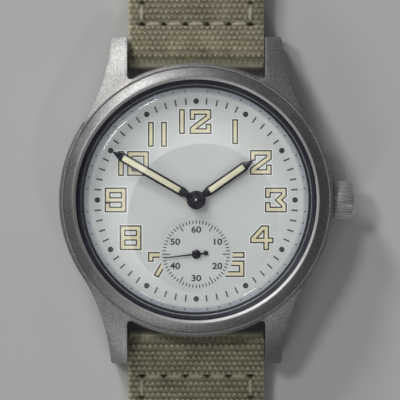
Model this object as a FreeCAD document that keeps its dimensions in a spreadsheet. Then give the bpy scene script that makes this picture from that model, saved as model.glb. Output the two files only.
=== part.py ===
import FreeCAD, Part
import math
import os
import re

import Sketcher

# Hand-wound wristwatch with small seconds, on a two-piece canvas strap.
# It lies on its case back: +Z is up through the dial, +Y points to 12 o'clock, +X to the crown.
# The origin is the centre of the case back's flat outer face.

# ---------------------------------------------------------------- driving dimensions, mm
dimensions = {
    # case
    "case_radius": 18.05, "case_foot_radius": 16.3, "case_bottom": 1.1, "case_flank_top": 5.2,
    "case_top": 8.2, "case_edge": 0.35, "case_bore": 13.45, "clamp_bore": 13.95, "clamp_step": 4.3,
    "plate_step": 6.32, "dial_bore": 14.5, "bezel_seat": 7.3, "bezel_recess": 17.5,
    "lug_gap": 18.2, "lug_tip": 21.6, "lug_tip_width": 2.2, "lug_root": 10.0, "lug_root_side": 15.0,
    "lug_flank_radius": 24.0, "lug_nose": 4.2, "lug_foot": 0.6, "lug_reach": 24.4, "lug_dome": 19.0,
    "lug_inner_corner": 0.45, "lug_corner": 0.45, "bar_reach": 19.3, "bar_height": 2.35,
    "lug_hole": 0.45, "lug_hole_end": 10.4,
    # bezel, crystal, back and seals
    "bezel_radius": 17.45, "bezel_bore": 15.85, "bezel_top": 9.15, "bezel_edge": 8.3, "bezel_polish": 0.16,
    "crystal_radius": 15.8, "crystal_base": 7.6, "crystal_wall": 1.2,
    "crystal_top": 11.5, "crystal_inside": 10.35, "crystal_slope": 1.7, "crystal_slope_fall": 1.64,
    "crystal_corner": 0.3, "dome_radius": 78.0, "seal_inner": 14.75, "seal_outer": 15.7,
    "back_radius": 15.3, "back_thickness": 0.9, "neck_radius": 14.2, "neck_wall": 0.55, "neck_top": 2.2,
    "groove_outer": 15.0, "groove_top": 1.55, "notch_width": 2.4, "notch_depth": 0.9,
    # dial and hands
    "dial_radius": 14.4, "dial_bottom": 6.4, "dial_top": 6.8, "dial_hole": 1.0, "seconds_hole": 0.35,
    "hour_hand_bottom": 7.3, "hour_hand_top": 7.48, "hour_hand_length": 9.1, "hour_angle": -55.0,
    "minute_hand_bottom": 7.8, "minute_hand_top": 7.95, "minute_hand_length": 12.6, "minute_angle": 60.0,
    "hand_width": 1.25, "hand_neck": 0.85, "hand_hub": 1.24, "hand_point": 1.4, "hand_flare": 2.0,
    "seconds_hand_bottom": 7.0, "seconds_hand_top": 7.1, "seconds_hand_length": 4.08,
    "seconds_angle": 96.6, "seconds_width": 0.22, "seconds_tail": 1.26, "seconds_ball": 0.32,
    "seconds_hub": 0.6,
    # movement plates
    "plate_radius": 13.4, "plate_bottom": 4.45, "plate_top": 6.3, "works_floor": 5.22,
    "barrel_floor": 5.05, "bridge_radius": 12.9, "barrel_bridge_bottom": 2.75, "barrel_bridge_top": 3.1,
    "train_bridge_bottom": 2.4, "train_bridge_top": 3.05, "bridge_split": -1.0, "bridge_slit": 0.15,
    "balance_room": 4.4, "cock_bottom": 1.45, "cock_top": 1.95, "cock_head": 1.35, "cock_width": 2.4,
    "pallet_bridge_bottom": 3.45, "pallet_bridge_top": 3.8, "jewel_radius": 0.53, "jewel_hole": 0.55,
    "screw_shank": 0.34, "screw_hole": 0.37, "screw_head": 0.62, "screw_head_height": 0.35,
    "case_screw_reach": 12.85, "case_screw_head": 1.0,
    # where the arbors stand, seen from the dial side
    "third_x": 3.07, "third_y": -4.16, "fourth_y": -7.1, "escape_x": -3.68, "escape_y": -6.45,
    "balance_x": -7.2, "balance_y": -1.0, "barrel_x": 2.0, "barrel_y": 5.5,
    "crown_wheel_x": 6.647, "minute_wheel_x": 2.4, "setting_wheel_x": 5.12,
    # going train
    "centre_bottom": 3.15, "centre_top": 3.35, "fourth_bottom": 3.55, "fourth_top": 3.7,
    "third_bottom": 4.1, "third_top": 4.25, "barrel_bottom": 3.45, "barrel_top": 4.95,
    "barrel_teeth_top": 3.8, "barrel_wall_radius": 4.95, "barrel_inner": 4.62,
    "balance_bottom": 2.45, "balance_top": 2.95, "balance_radius": 3.9, "balance_rim": 0.5,
    "hairspring_bottom": 2.05, "hairspring_top": 2.25,
    "ratchet_bottom": 2.3, "ratchet_top": 2.65,
    "works_bottom": 5.3, "works_top": 5.5, "hour_bottom": 5.75, "hour_top": 5.95,
    # winding and setting
    "stem_height": 4.3, "stem_radius": 0.5, "stem_start": 5.35, "stem_end": 20.2,
    "square": 0.7, "square_end": 8.75, "stem_groove": 11.0, "groove_width": 0.4, "groove_radius": 0.28,
    "pinion_start": 9.0, "pinion_end": 9.9, "clutch_start": 6.95, "clutch_end": 8.6, "clutch_radius": 1.1,
    "crown_start": 18.1, "crown_end": 21.0, "crown_radius": 2.47, "crown_cavity": 1.6,
    "crown_cavity_end": 19.95, "crown_chamfer": 0.45, "flute_radius": 0.16,
    "tube_radius": 1.0, "tube_bore": 0.62, "tube_start": 14.2, "tube_end": 19.4,
    "lever_pivot": 2.9, "yoke_pivot": -3.6, "yoke_nib": -0.93, "lever_bottom": 5.6, "lever_top": 5.85,
    # strap, spring bars and buckle
    "strap_width": 18.0, "canvas": 1.2, "loop_radius": 2.1, "loop_hole": 0.9,
    "stitch_reach": 23.6, "hem_reach": 33.0, "flat_reach": 40.0, "strap_low": 1.2, "strap_floor": 0.05,
    "buckle_reach": 89.3, "buckle_hem": 76.0, "tail_reach": 134.0, "tail_corner": 7.0,
    "hole_radius": 0.95, "hole_first": 76.0, "hole_pitch": 6.5,
    "bar_radius": 0.75, "bar_half": 8.8, "pin_radius": 0.4, "pin_start": 6.6, "pin_end": 10.2,
    "bar_bore": 0.45, "bar_bore_start": 5.3,
    "buckle_bar_radius": 0.7, "buckle_inner": 9.3, "buckle_outer": 11.2,
    "buckle_front": 99.2, "buckle_end": 101.2, "buckle_thickness": 1.9, "tongue_width": 1.8,
    "tongue_gap": 1.35, "slot_length": 4.2, "keeper_inner": 9.25, "keeper_wall": 0.95, "keeper_height": 3.0,
    "keeper_bottom": 0.1, "keeper_length": 6.0, "fixed_keeper": 79.0, "sliding_keeper": 64.0,
}

case_back_notches = 6
crown_flutes = 32
strap_holes = 7
full_turn = 2 * math.pi

doc = FreeCAD.newDocument("wristwatch")
sheet = doc.addObject("Spreadsheet::Sheet", "sizes")
for row, (alias, number) in enumerate(dimensions.items(), start=1):
    sheet.set(f"A{row}", alias)
    sheet.set(f"B{row}", str(number))
    sheet.setAlias(f"B{row}", alias)
doc.recompute()

pieces = {}


# ---------------------------------------------------------------- helpers
def size(alias):
    return float(sheet.get(alias))


def formula(text):
    # an expression in the sheet's words, such as "case_radius - case_edge"
    return re.sub(r"[a-z_]+", lambda word: f"sizes.{word.group(0)}" if word.group(0) in dimensions
                  else word.group(0), text)


def worth(text):
    # the number that a formula gives now
    return float(sheet.evalExpression(formula(text)))


def bind(item, **formulas):
    for name, text in formulas.items():
        item.setExpression(name.replace("__", "."), formula(text))


def place(item, x="0", y="0", z="0"):
    bind(item, Placement__Base__x=x, Placement__Base__y=y, Placement__Base__z=z)


def cylinder(name, radius, bottom, top, x="0", y="0"):
    item = doc.addObject("Part::Cylinder", name)
    bind(item, Radius=radius, Height=f"({top}) - ({bottom})")
    place(item, x, y, bottom)
    return item


def rod(name, radius, start, end, y="0", z="0"):
    # a cylinder along X
    item = doc.addObject("Part::Cylinder", name)
    item.Placement.Rotation = FreeCAD.Rotation(FreeCAD.Vector(0, 1, 0), 90)
    bind(item, Radius=radius, Height=f"({end}) - ({start})")
    place(item, start, y, z)
    return item


def block(name, start, end):
    # a box between two corners, each three formulas
    item = doc.addObject("Part::Box", name)
    bind(item, Length=f"({end[0]}) - ({start[0]})", Width=f"({end[1]}) - ({start[1]})",
         Height=f"({end[2]}) - ({start[2]})")
    place(item, *start)
    return item


def fuse(name, items):
    item = doc.addObject("Part::MultiFuse", name)
    item.Shapes = items
    return item


def cut(name, base, tools):
    item = doc.addObject("Part::Cut", name)
    item.Base = base
    item.Tool = tools[0] if len(tools) == 1 else fuse(f"{name}_tools", tools)
    return item


def common(name, first, second):
    item = doc.addObject("Part::MultiCommon", name)
    item.Shapes = [first, second]
    return item


def sketch_on(body, name, plane, outline):
    # a closed outline of points (x, y), or (x, y, radius) where an arc leads on to the next point;
    # the arc turns left for a positive radius and right for a negative one
    sketch = body.newObject("Sketcher::SketchObject", name)
    role = {feature.Role: feature for feature in body.Origin.OriginFeatures}
    sketch.AttachmentSupport = (role[plane], [""])
    sketch.MapMode = "FlatFace"
    spots = [FreeCAD.Vector(worth(point[0]), worth(point[1]), 0) for point in outline]
    count = len(outline)
    for index, point in enumerate(outline):
        here, there = spots[index], spots[(index + 1) % count]
        if len(point) == 2:
            sketch.addGeometry(Part.LineSegment(here, there))
            continue
        radius = worth(point[2])
        half = (there - here) * 0.5
        rise = math.sqrt(max(radius ** 2 - half.Length ** 2, 0))
        side = FreeCAD.Vector(-half.y, half.x, 0).normalize() * math.copysign(rise, radius)
        centre = here + half + side
        outward = (here + half - centre)
        if outward.Length < 1e-6:
            outward = -FreeCAD.Vector(-half.y, half.x, 0) * math.copysign(1, radius)
        middle = centre + outward.normalize() * abs(radius)
        sketch.addGeometry(Part.Arc(here, middle, there))
    for index, point in enumerate(outline):
        following = (index + 1) % count
        arc_here = len(point) == 3 and worth(point[2]) < 0
        arc_next = len(outline[following]) == 3 and worth(outline[following][2]) < 0
        sketch.addConstraint(Sketcher.Constraint("Coincident", index, 1 if arc_here else 2,
                                                 following, 2 if arc_next else 1))
    for index, point in enumerate(outline):
        end = 2 if len(point) == 3 and worth(point[2]) < 0 else 1
        for kind, text, spot in (("DistanceX", point[0], spots[index].x),
                                 ("DistanceY", point[1], spots[index].y)):
            number = sketch.addConstraint(Sketcher.Constraint(kind, index, end, spot))
            sketch.setExpression(f"Constraints[{number}]", formula(text))
        if len(point) == 3:
            number = sketch.addConstraint(Sketcher.Constraint("Radius", index, abs(worth(point[2]))))
            sketch.setExpression(f"Constraints[{number}]", f"abs({formula(point[2])})")
    return sketch


def turned(name, outline):
    # a body of revolution about Z; the outline's points are (radius, height)
    body = doc.addObject("PartDesign::Body", name)
    profile = sketch_on(body, f"{name}_profile", "XZ_Plane", outline)
    feature = body.newObject("PartDesign::Revolution", f"{name}_turned")
    feature.Profile = profile
    feature.ReferenceAxis = (profile, ["V_Axis"])
    feature.Angle = 360
    return body


def padded(name, outline, start, end, plane="XY_Plane"):
    # an outline made solid between two heights, or two x values for an outline in YZ
    body = doc.addObject("PartDesign::Body", name)
    profile = sketch_on(body, f"{name}_profile", plane, outline)
    profile.setExpression("AttachmentOffset.Base.z", formula(start))
    feature = body.newObject("PartDesign::Pad", f"{name}_pad")
    feature.Profile = profile
    feature.setExpression("Length", formula(f"({end}) - ({start})"))
    return body


def ring(name, inner, outer, bottom, top):
    return turned(name, [(inner, bottom), (outer, bottom), (outer, top), (inner, top)])


def keep(label, item):
    # names a finished sub-part; its label is its file's name
    item.Label = label
    pieces[label] = item


def coded(label, shape, x=0.0, y=0.0, z=0.0, turn=0.0):
    # a sub-part whose outline only code can draw, such as teeth or a spiral
    item = doc.addObject("Part::Feature", f"{label}_shape")
    item.Shape = shape
    item.Placement = FreeCAD.Placement(FreeCAD.Vector(x, y, z),
                                       FreeCAD.Rotation(FreeCAD.Vector(0, 0, 1), turn))
    keep(label, item)
    return item


def polar(radius, angle, height=0.0):
    return FreeCAD.Vector(radius * math.cos(angle), radius * math.sin(angle), height)


def disc(radius, bottom, top, hole=0.0):
    shape = Part.makeCylinder(radius, top - bottom, FreeCAD.Vector(0, 0, bottom))
    if hole:
        shape = shape.cut(Part.makeCylinder(hole, top - bottom, FreeCAD.Vector(0, 0, bottom)))
    return shape


def slab(points, bottom, top):
    # a flat plate with a straight-sided outline
    corners = [FreeCAD.Vector(x, y, bottom) for x, y in points]
    outline = Part.makePolygon(corners + corners[:1])
    return Part.Face(outline).extrude(FreeCAD.Vector(0, 0, top - bottom))


def toothed(teeth, module, bottom, top, phase=0.0, depth=1.25, height=0.9):
    # a wheel or pinion with straight-flanked teeth; a tooth's middle stands at the phase angle
    pitch = full_turn / teeth
    root = module * (teeth / 2 - depth)
    tip = module * (teeth / 2 + height)
    root_half, tip_half = 0.29, 0.1
    points = []
    for tooth in range(teeth):
        middle = phase + tooth * pitch
        for radius, offset in ((root, -root_half), (tip, -tip_half), (tip, tip_half), (root, root_half)):
            spot = polar(radius, middle + offset * pitch)
            points.append((spot.x, spot.y))
    return slab(points, bottom, top)


def meshed(teeth, phase, other_teeth, direction):
    # the phase of the other wheel, so that its gap meets this wheel's tooth
    pitch = full_turn / teeth
    ahead = (phase - direction) % pitch
    return direction + math.pi - ahead * teeth / other_teeth + math.pi / other_teeth


def crossed(shape, spokes, inner, outer, bottom, top, arm):
    # cuts the windows between a wheel's spokes
    for spoke in range(spokes):
        start = full_turn * spoke / spokes
        window = Part.makeCylinder(outer, top - bottom, FreeCAD.Vector(0, 0, bottom),
                                   FreeCAD.Vector(0, 0, 1), 360 / spokes)
        window = window.cut(Part.makeCylinder(inner, top - bottom, FreeCAD.Vector(0, 0, bottom)))
        window.rotate(FreeCAD.Vector(0, 0, 0), FreeCAD.Vector(0, 0, 1), math.degrees(start))
        for edge in (start, start + full_turn / spokes):
            bar = Part.makeBox(2 * outer, arm, top - bottom, FreeCAD.Vector(0, -arm / 2, bottom))
            bar.rotate(FreeCAD.Vector(0, 0, 0), FreeCAD.Vector(0, 0, 1), math.degrees(edge))
            window = window.cut(bar)
        shape = shape.cut(window)
    return shape


def spiral(inner, outer, turns, thickness, bottom, top, start=0.0):
    # a flat coiled ribbon, drawn as two even spirals a ribbon's thickness apart
    steps = int(turns * 16)
    sides = []
    for offset in (-thickness / 2, thickness / 2):
        points = [polar(inner + (outer - inner) * step / steps + offset,
                        start + full_turn * turns * step / steps, bottom) for step in range(steps + 1)]
        curve = Part.BSplineCurve()
        curve.interpolate(points)
        sides.append(curve.toShape())
    near = Part.makeLine(sides[0].Vertexes[0].Point, sides[1].Vertexes[0].Point)
    far = Part.makeLine(sides[0].Vertexes[-1].Point, sides[1].Vertexes[-1].Point)
    outline = Part.Wire(Part.__sortEdges__([sides[0], far, sides[1], near]))
    return Part.Face(outline).extrude(FreeCAD.Vector(0, 0, top - bottom))


# ---------------------------------------------------------------- case middle and lugs
def make_case_middle():
    band = turned("case_band", [
        ("neck_radius + 0.05", "case_bottom"), ("case_foot_radius", "case_bottom"),
        ("case_radius", "case_flank_top"), ("case_radius", "case_top - case_edge"),
        ("case_radius - case_edge", "case_top"), ("bezel_recess", "case_top"),
        ("bezel_recess", "bezel_seat"), ("dial_bore", "bezel_seat"), ("dial_bore", "plate_step"),
        ("case_bore", "plate_step"), ("case_bore", "clamp_step"), ("clamp_bore", "clamp_step"),
        ("clamp_bore", "neck_top + 0.1"), ("neck_radius + 0.05", "neck_top + 0.1")])
    groove = ring("gasket_groove", "neck_radius", "groove_outer", "case_bottom - 0.1", "groove_top")
    side = padded("lug_side", [
        ("lug_root - 1", "case_bottom + 0.1"), ("bar_reach - 1.5", "lug_foot"), ("lug_tip - 0.7", "lug_foot"),
        ("lug_tip", "lug_foot + 0.9"), ("lug_tip", "case_top"), ("lug_root - 1", "case_top")],
        "0", "case_radius", "YZ_Plane")
    # the inner corner between a lug and the band is an arc that touches both
    corner_spot = ("lug_gap / 2 - lug_inner_corner", f"sqrt(({worth('case_radius + lug_inner_corner')})^2 "
                   f"- ({worth('lug_gap / 2 - lug_inner_corner')})^2)")
    share = "case_radius / (case_radius + lug_inner_corner)"
    touch = (f"({corner_spot[0]}) * {share}", f"{corner_spot[1]} * {share}")
    plan = padded("lug_plan", [
        (touch[0], "lug_root"), ("lug_root_side", "lug_root", "-lug_flank_radius"),
        ("lug_gap / 2 + lug_tip_width", "lug_tip - lug_corner", "lug_corner"),
        ("lug_gap / 2 + lug_tip_width - lug_corner", "lug_tip"),
        ("lug_gap / 2 + lug_corner / 2", "lug_tip", "lug_corner / 2"),
        ("lug_gap / 2", "lug_tip - lug_corner / 2"), ("lug_gap / 2", corner_spot[1], "-lug_inner_corner"),
        touch],
        "0", "case_top")
    # the tops of the lugs belong to one dome that starts at the band's rim
    top = turned("lug_tops", [
        ("0", "0"), ("lug_reach", "0"), ("lug_reach", "lug_nose", "lug_dome"),
        ("case_radius - case_edge - 0.1", "case_top - 0.01"), ("0", "case_top - 0.01")])
    lugs = [common("lug", common("lug_blank", side, plan), top)]
    for name, normal, source in (("lug_left", (1, 0, 0), [0]), ("lug_low", (0, 1, 0), [0, 1])):
        for number, index in enumerate(source):
            mirror = doc.addObject("Part::Mirroring", f"{name}_{number}")
            mirror.Source = lugs[index]
            mirror.Normal = FreeCAD.Vector(*normal)
            lugs.append(mirror)
    # the lugs run into the band's wall but not into its bore or the bezel's recess
    bore_room = cylinder("lug_trim_low", "groove_outer + 0.6", "0", "bezel_seat - 0.1")
    recess_room = cylinder("lug_trim_high", "bezel_recess + 0.15", "bezel_seat - 0.2", "case_top + 1")
    lug_group = cut("lug_group", fuse("all_lugs", lugs), [bore_room, recess_room])
    holes = [rod(f"lug_holes_{side}", "lug_hole", "-lug_hole_end", "lug_hole_end", f"{side} * bar_reach",
                 "bar_height") for side in (1, -1)]
    crown_hole = rod("crown_tube_hole", "tube_radius", "case_bore - 1", "case_radius + 1", "0", "stem_height")
    keep("case_middle", cut("case_middle_cut", fuse("case_solid", [band, lug_group]),
                            [groove, crown_hole] + holes))


# ---------------------------------------------------------------- bezel, crystal, back and seals
def make_case_parts():
    keep("bezel", turned("bezel_ring", [
        ("bezel_bore", "bezel_seat + 0.02"), ("bezel_radius", "bezel_seat + 0.02"),
        ("bezel_radius", "bezel_edge"), ("bezel_radius - 0.12", "bezel_edge + 0.1", "14"),
        ("bezel_bore + 2 * bezel_polish", "bezel_top"), ("bezel_bore", "bezel_top - bezel_polish")]))
    outside = common("crystal_outside",
                     cylinder("crystal_drum", "crystal_radius", "crystal_base", "crystal_top"),
                     dome("crystal_dome", "crystal_top"))
    inside = common("crystal_inside_solid",
                    cylinder("crystal_room", "crystal_radius - crystal_wall", "crystal_base - 1",
                             "crystal_inside"),
                    dome("crystal_inside_dome", "crystal_inside"))
    doc.recompute()
    # the dome slopes down to the wall outside, and meets it in a small arc inside
    sloped = doc.addObject("Part::Chamfer", "crystal_sloped")
    sloped.Base = outside
    sloped.Edges = [(top_edge_number(outside), size("crystal_slope_fall"), size("crystal_slope"))]
    rounded = doc.addObject("Part::Fillet", "crystal_inside_rounded")
    rounded.Base = inside
    rounded.Edges = [(top_edge_number(inside), size("crystal_corner"), size("crystal_corner"))]
    keep("crystal", cut("crystal_cut", sloped, [rounded]))
    keep("crystal_gasket", ring("crystal_gasket_ring", "seal_inner", "seal_outer", "bezel_seat + 0.01",
                                "crystal_base - 0.01"))
    back = turned("back_disc", [
        ("0", "0"), ("back_radius - 0.5", "0"), ("back_radius", "0.5"), ("back_radius", "case_bottom - 0.01"),
        ("neck_radius", "case_bottom - 0.01"), ("neck_radius", "neck_top"),
        ("neck_radius - neck_wall", "neck_top"), ("neck_radius - neck_wall", "back_thickness"),
        ("0", "back_thickness")])
    notches = []
    for number in range(case_back_notches):
        notch = block(f"back_notch_{number}", ("back_radius - notch_depth", "-notch_width / 2", "-0.1"),
                      ("back_radius + 1", "notch_width / 2", "0.4"))
        turn = doc.addObject("Part::Mirroring", f"back_notch_turned_{number}")
        turn.Source = notch
        turn.Normal = polar(1, full_turn * number / case_back_notches / 2)
        notches.append(turn)
    keep("case_back", cut("back_cut", back, notches))
    keep("case_back_gasket", ring("back_gasket_ring", "neck_radius + 0.1", "groove_outer - 0.1",
                                  "case_bottom + 0.02", "groove_top - 0.05"))
    tube = rod("tube_outside", "tube_radius", "tube_start", "tube_end", "0", "stem_height")
    keep("crown_tube", cut("tube_cut", tube, [rod("tube_inside", "tube_bore", "tube_start - 1",
                                                  "tube_end + 1", "0", "stem_height")]))


def top_edge_number(item):
    # the number of the round edge where the dome meets the drum
    edges = item.Shape.Edges
    rims = [edge for edge in edges if edge.BoundBox.ZLength < 0.01 and edge.Length > full_turn]
    highest = max(rims, key=lambda edge: edge.BoundBox.ZMax)
    return [edge.isSame(highest) for edge in edges].index(True) + 1


def dome(name, top):
    # a ball whose highest point stands at the given height over the dial's centre
    ball = doc.addObject("Part::Sphere", name)
    bind(ball, Radius="dome_radius")
    place(ball, "0", "0", f"{top} - dome_radius")
    return ball


# ---------------------------------------------------------------- dial and hands
def make_dial():
    plate = cylinder("dial_plate", "dial_radius", "dial_bottom", "dial_top")
    holes = [cylinder("dial_centre_hole", "dial_hole", "dial_bottom - 1", "dial_top + 1"),
             cylinder("dial_seconds_hole", "seconds_hole", "dial_bottom - 1", "dial_top + 1",
                      "0", "fourth_y")]
    sunk = ring("seconds_groove", "4.85", "5.0", "dial_top - 0.06", "dial_top + 0.1")
    place(sunk, "0", "fourth_y", "0")
    keep("dial", cut("dial_cut", plate, holes + [sunk]))


def make_hand(label, length, bottom, top, hole, angle):
    # a baton with a narrow neck at the hub and a pointed end
    baton = padded(f"{label}_baton", [
        ("hand_neck / 2", "0"), ("hand_neck / 2", "hand_hub"), ("hand_width / 2", "hand_flare"),
        ("hand_width / 2", f"{length} - hand_point"), ("0.05", length), ("-0.05", length),
        ("-hand_width / 2", f"{length} - hand_point"), ("-hand_width / 2", "hand_flare"),
        ("-hand_neck / 2", "hand_hub"), ("-hand_neck / 2", "0")], bottom, top)
    hub = cylinder(f"{label}_hub", "hand_hub", bottom, top)
    bore = cylinder(f"{label}_bore", hole, f"{bottom} - 1", f"{top} + 1")
    hand = cut(f"{label}_cut", fuse(f"{label}_whole", [baton, hub]), [bore])
    hand.Placement.Rotation = FreeCAD.Rotation(FreeCAD.Vector(0, 0, 1), size(angle))
    keep(label, hand)


def make_hands():
    make_hand("hour_hand", "hour_hand_length", "hour_hand_bottom", "hour_hand_top", "0.87", "hour_angle")
    make_hand("minute_hand", "minute_hand_length", "minute_hand_bottom", "minute_hand_top", "0.51",
              "minute_angle")
    needle = padded("seconds_needle", [
        ("seconds_width / 2", "-seconds_tail"), ("seconds_width / 2", "0"), ("0.06", "seconds_hand_length"),
        ("-0.06", "seconds_hand_length"), ("-seconds_width / 2", "0"),
        ("-seconds_width / 2", "-seconds_tail")],
        "seconds_hand_bottom", "seconds_hand_top")
    hub = cylinder("seconds_hub_disc", "seconds_hub", "seconds_hand_bottom", "seconds_hand_top")
    tail = cylinder("seconds_tail_ball", "seconds_ball", "seconds_hand_bottom", "seconds_hand_top",
                    "0", "-seconds_tail")
    bore = cylinder("seconds_bore", "0.19", "seconds_hand_bottom - 1", "seconds_hand_top + 1")
    hand = cut("seconds_cut", fuse("seconds_whole", [needle, hub, tail]), [bore])
    hand.Placement.Rotation = FreeCAD.Rotation(FreeCAD.Vector(0, 0, 1), size("seconds_angle"))
    hand.setExpression("Placement.Base.y", formula("fourth_y"))
    keep("seconds_hand", hand)


# ---------------------------------------------------------------- places in the movement
barrel_spot = (size("barrel_x"), size("barrel_y"))
third_spot = (size("third_x"), size("third_y"))
fourth_spot = (0.0, size("fourth_y"))
escape_spot = (size("escape_x"), size("escape_y"))
balance_spot = (size("balance_x"), size("balance_y"))
pallet_share = 0.4
pallet_spot = tuple(start + (end - start) * pallet_share for start, end in zip(escape_spot, balance_spot))
pallet_turn = math.atan2(balance_spot[1] - escape_spot[1], balance_spot[0] - escape_spot[0])
train_spots = [third_spot, fourth_spot, escape_spot]
balance_turn = math.atan2(balance_spot[1], balance_spot[0])
barrel_screws = [(-4.6, 10.9), (7.4, 9.4), (10.6, 5.3)]
train_screws = [(8.6, -5.4), (4.4, -10.6), (-3.0, -11.2)]
pallet_foot_reach = 1.45
pallet_feet = [tuple(spot + side * pallet_foot_reach * part for spot, part in
                     zip(pallet_spot, (math.sin(pallet_turn), -math.cos(pallet_turn)))) for side in (1, -1)]
cock_foot_reach = 12.2
cock_screw = (cock_foot_reach * math.cos(balance_turn), cock_foot_reach * math.sin(balance_turn))
case_screw_turns = (math.radians(65), math.radians(245))


def columns(name, radius, bottom, top, spots):
    # upright cylinders of one size, as a list of parts
    return [cylinder(f"{name}_{number}", radius, bottom, top, str(x), str(y))
            for number, (x, y) in enumerate(spots)]


# ---------------------------------------------------------------- plates, bridges and their fixings
def make_mainplate():
    plate = cylinder("mainplate_disc", "plate_radius", "plate_bottom", "plate_top")
    works = [cylinder("hour_wheel_room", "2.2", "works_floor", "plate_top + 1"),
             cylinder("minute_wheel_room", "2.1", "works_floor", "plate_top + 1", "minute_wheel_x"),
             cylinder("setting_wheel_room", "1.15", "works_floor", "plate_top + 1", "setting_wheel_x"),
             cylinder("barrel_room", "barrel_wall_radius + 0.15", "plate_bottom - 1", "barrel_floor",
                      "barrel_x", "barrel_y"),
             block("keyless_slot", ("5.95", "-1.8", "plate_bottom - 1"), ("12.2", "1.8", "plate_top + 1")),
             block("keyless_room", ("6.6", "-4.7", "lever_bottom - 0.15"), ("12.2", "4.1", "plate_top + 1")),
             rod("stem_channel", "stem_radius + 0.05", "stem_start - 0.2", "plate_radius + 1", "0",
                 "stem_height")]
    bores = [cylinder("centre_bore", "0.35", "plate_bottom - 1", "plate_top + 1"),
             cylinder("barrel_arbor_bore", "0.45", "plate_bottom - 1", "plate_top - 0.4", "barrel_x",
                      "barrel_y"),
             cylinder("seconds_bore_in_plate", "0.3", "plate_bottom - 1", "plate_top + 1", "0", "fourth_y"),
             cylinder("minute_post_bore", "0.25", "works_floor - 0.5", "plate_top", "minute_wheel_x"),
             cylinder("setting_post_bore", "0.25", "works_floor - 0.5", "plate_top", "setting_wheel_x"),
             cylinder("lever_bore", "0.33", "lever_bottom - 1", "plate_top", "stem_groove", "lever_pivot"),
             cylinder("yoke_bore", "0.33", "lever_bottom - 1", "plate_top", "clutch_end - 0.55",
                      "yoke_pivot")]
    jewels = columns("plate_jewel_hole", "jewel_hole", "plate_bottom - 1", "plate_bottom + 0.4",
                     train_spots + [balance_spot, pallet_spot])
    screws = columns("plate_screw_hole", "screw_hole", "plate_bottom - 1", "works_floor",
                     barrel_screws + train_screws + [cock_screw] + pallet_feet)
    case_screws = columns("case_screw_hole", "screw_hole", "plate_bottom - 1", "works_floor",
                          [tuple(polar(size("case_screw_reach"), turn))[:2] for turn in case_screw_turns])
    keep("mainplate", cut("mainplate_cut", plate, works + bores + jewels + screws + case_screws))


def balance_clearance(name):
    # the room that a bridge leaves for the balance wheel and for the foot of its cock
    return [cylinder(f"{name}_balance_room", "balance_room", "0", "plate_bottom", "balance_x", "balance_y"),
            cylinder(f"{name}_cock_room", "2.75", "0", "plate_bottom",
                     str(cock_screw[0]), str(cock_screw[1]))]


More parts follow.
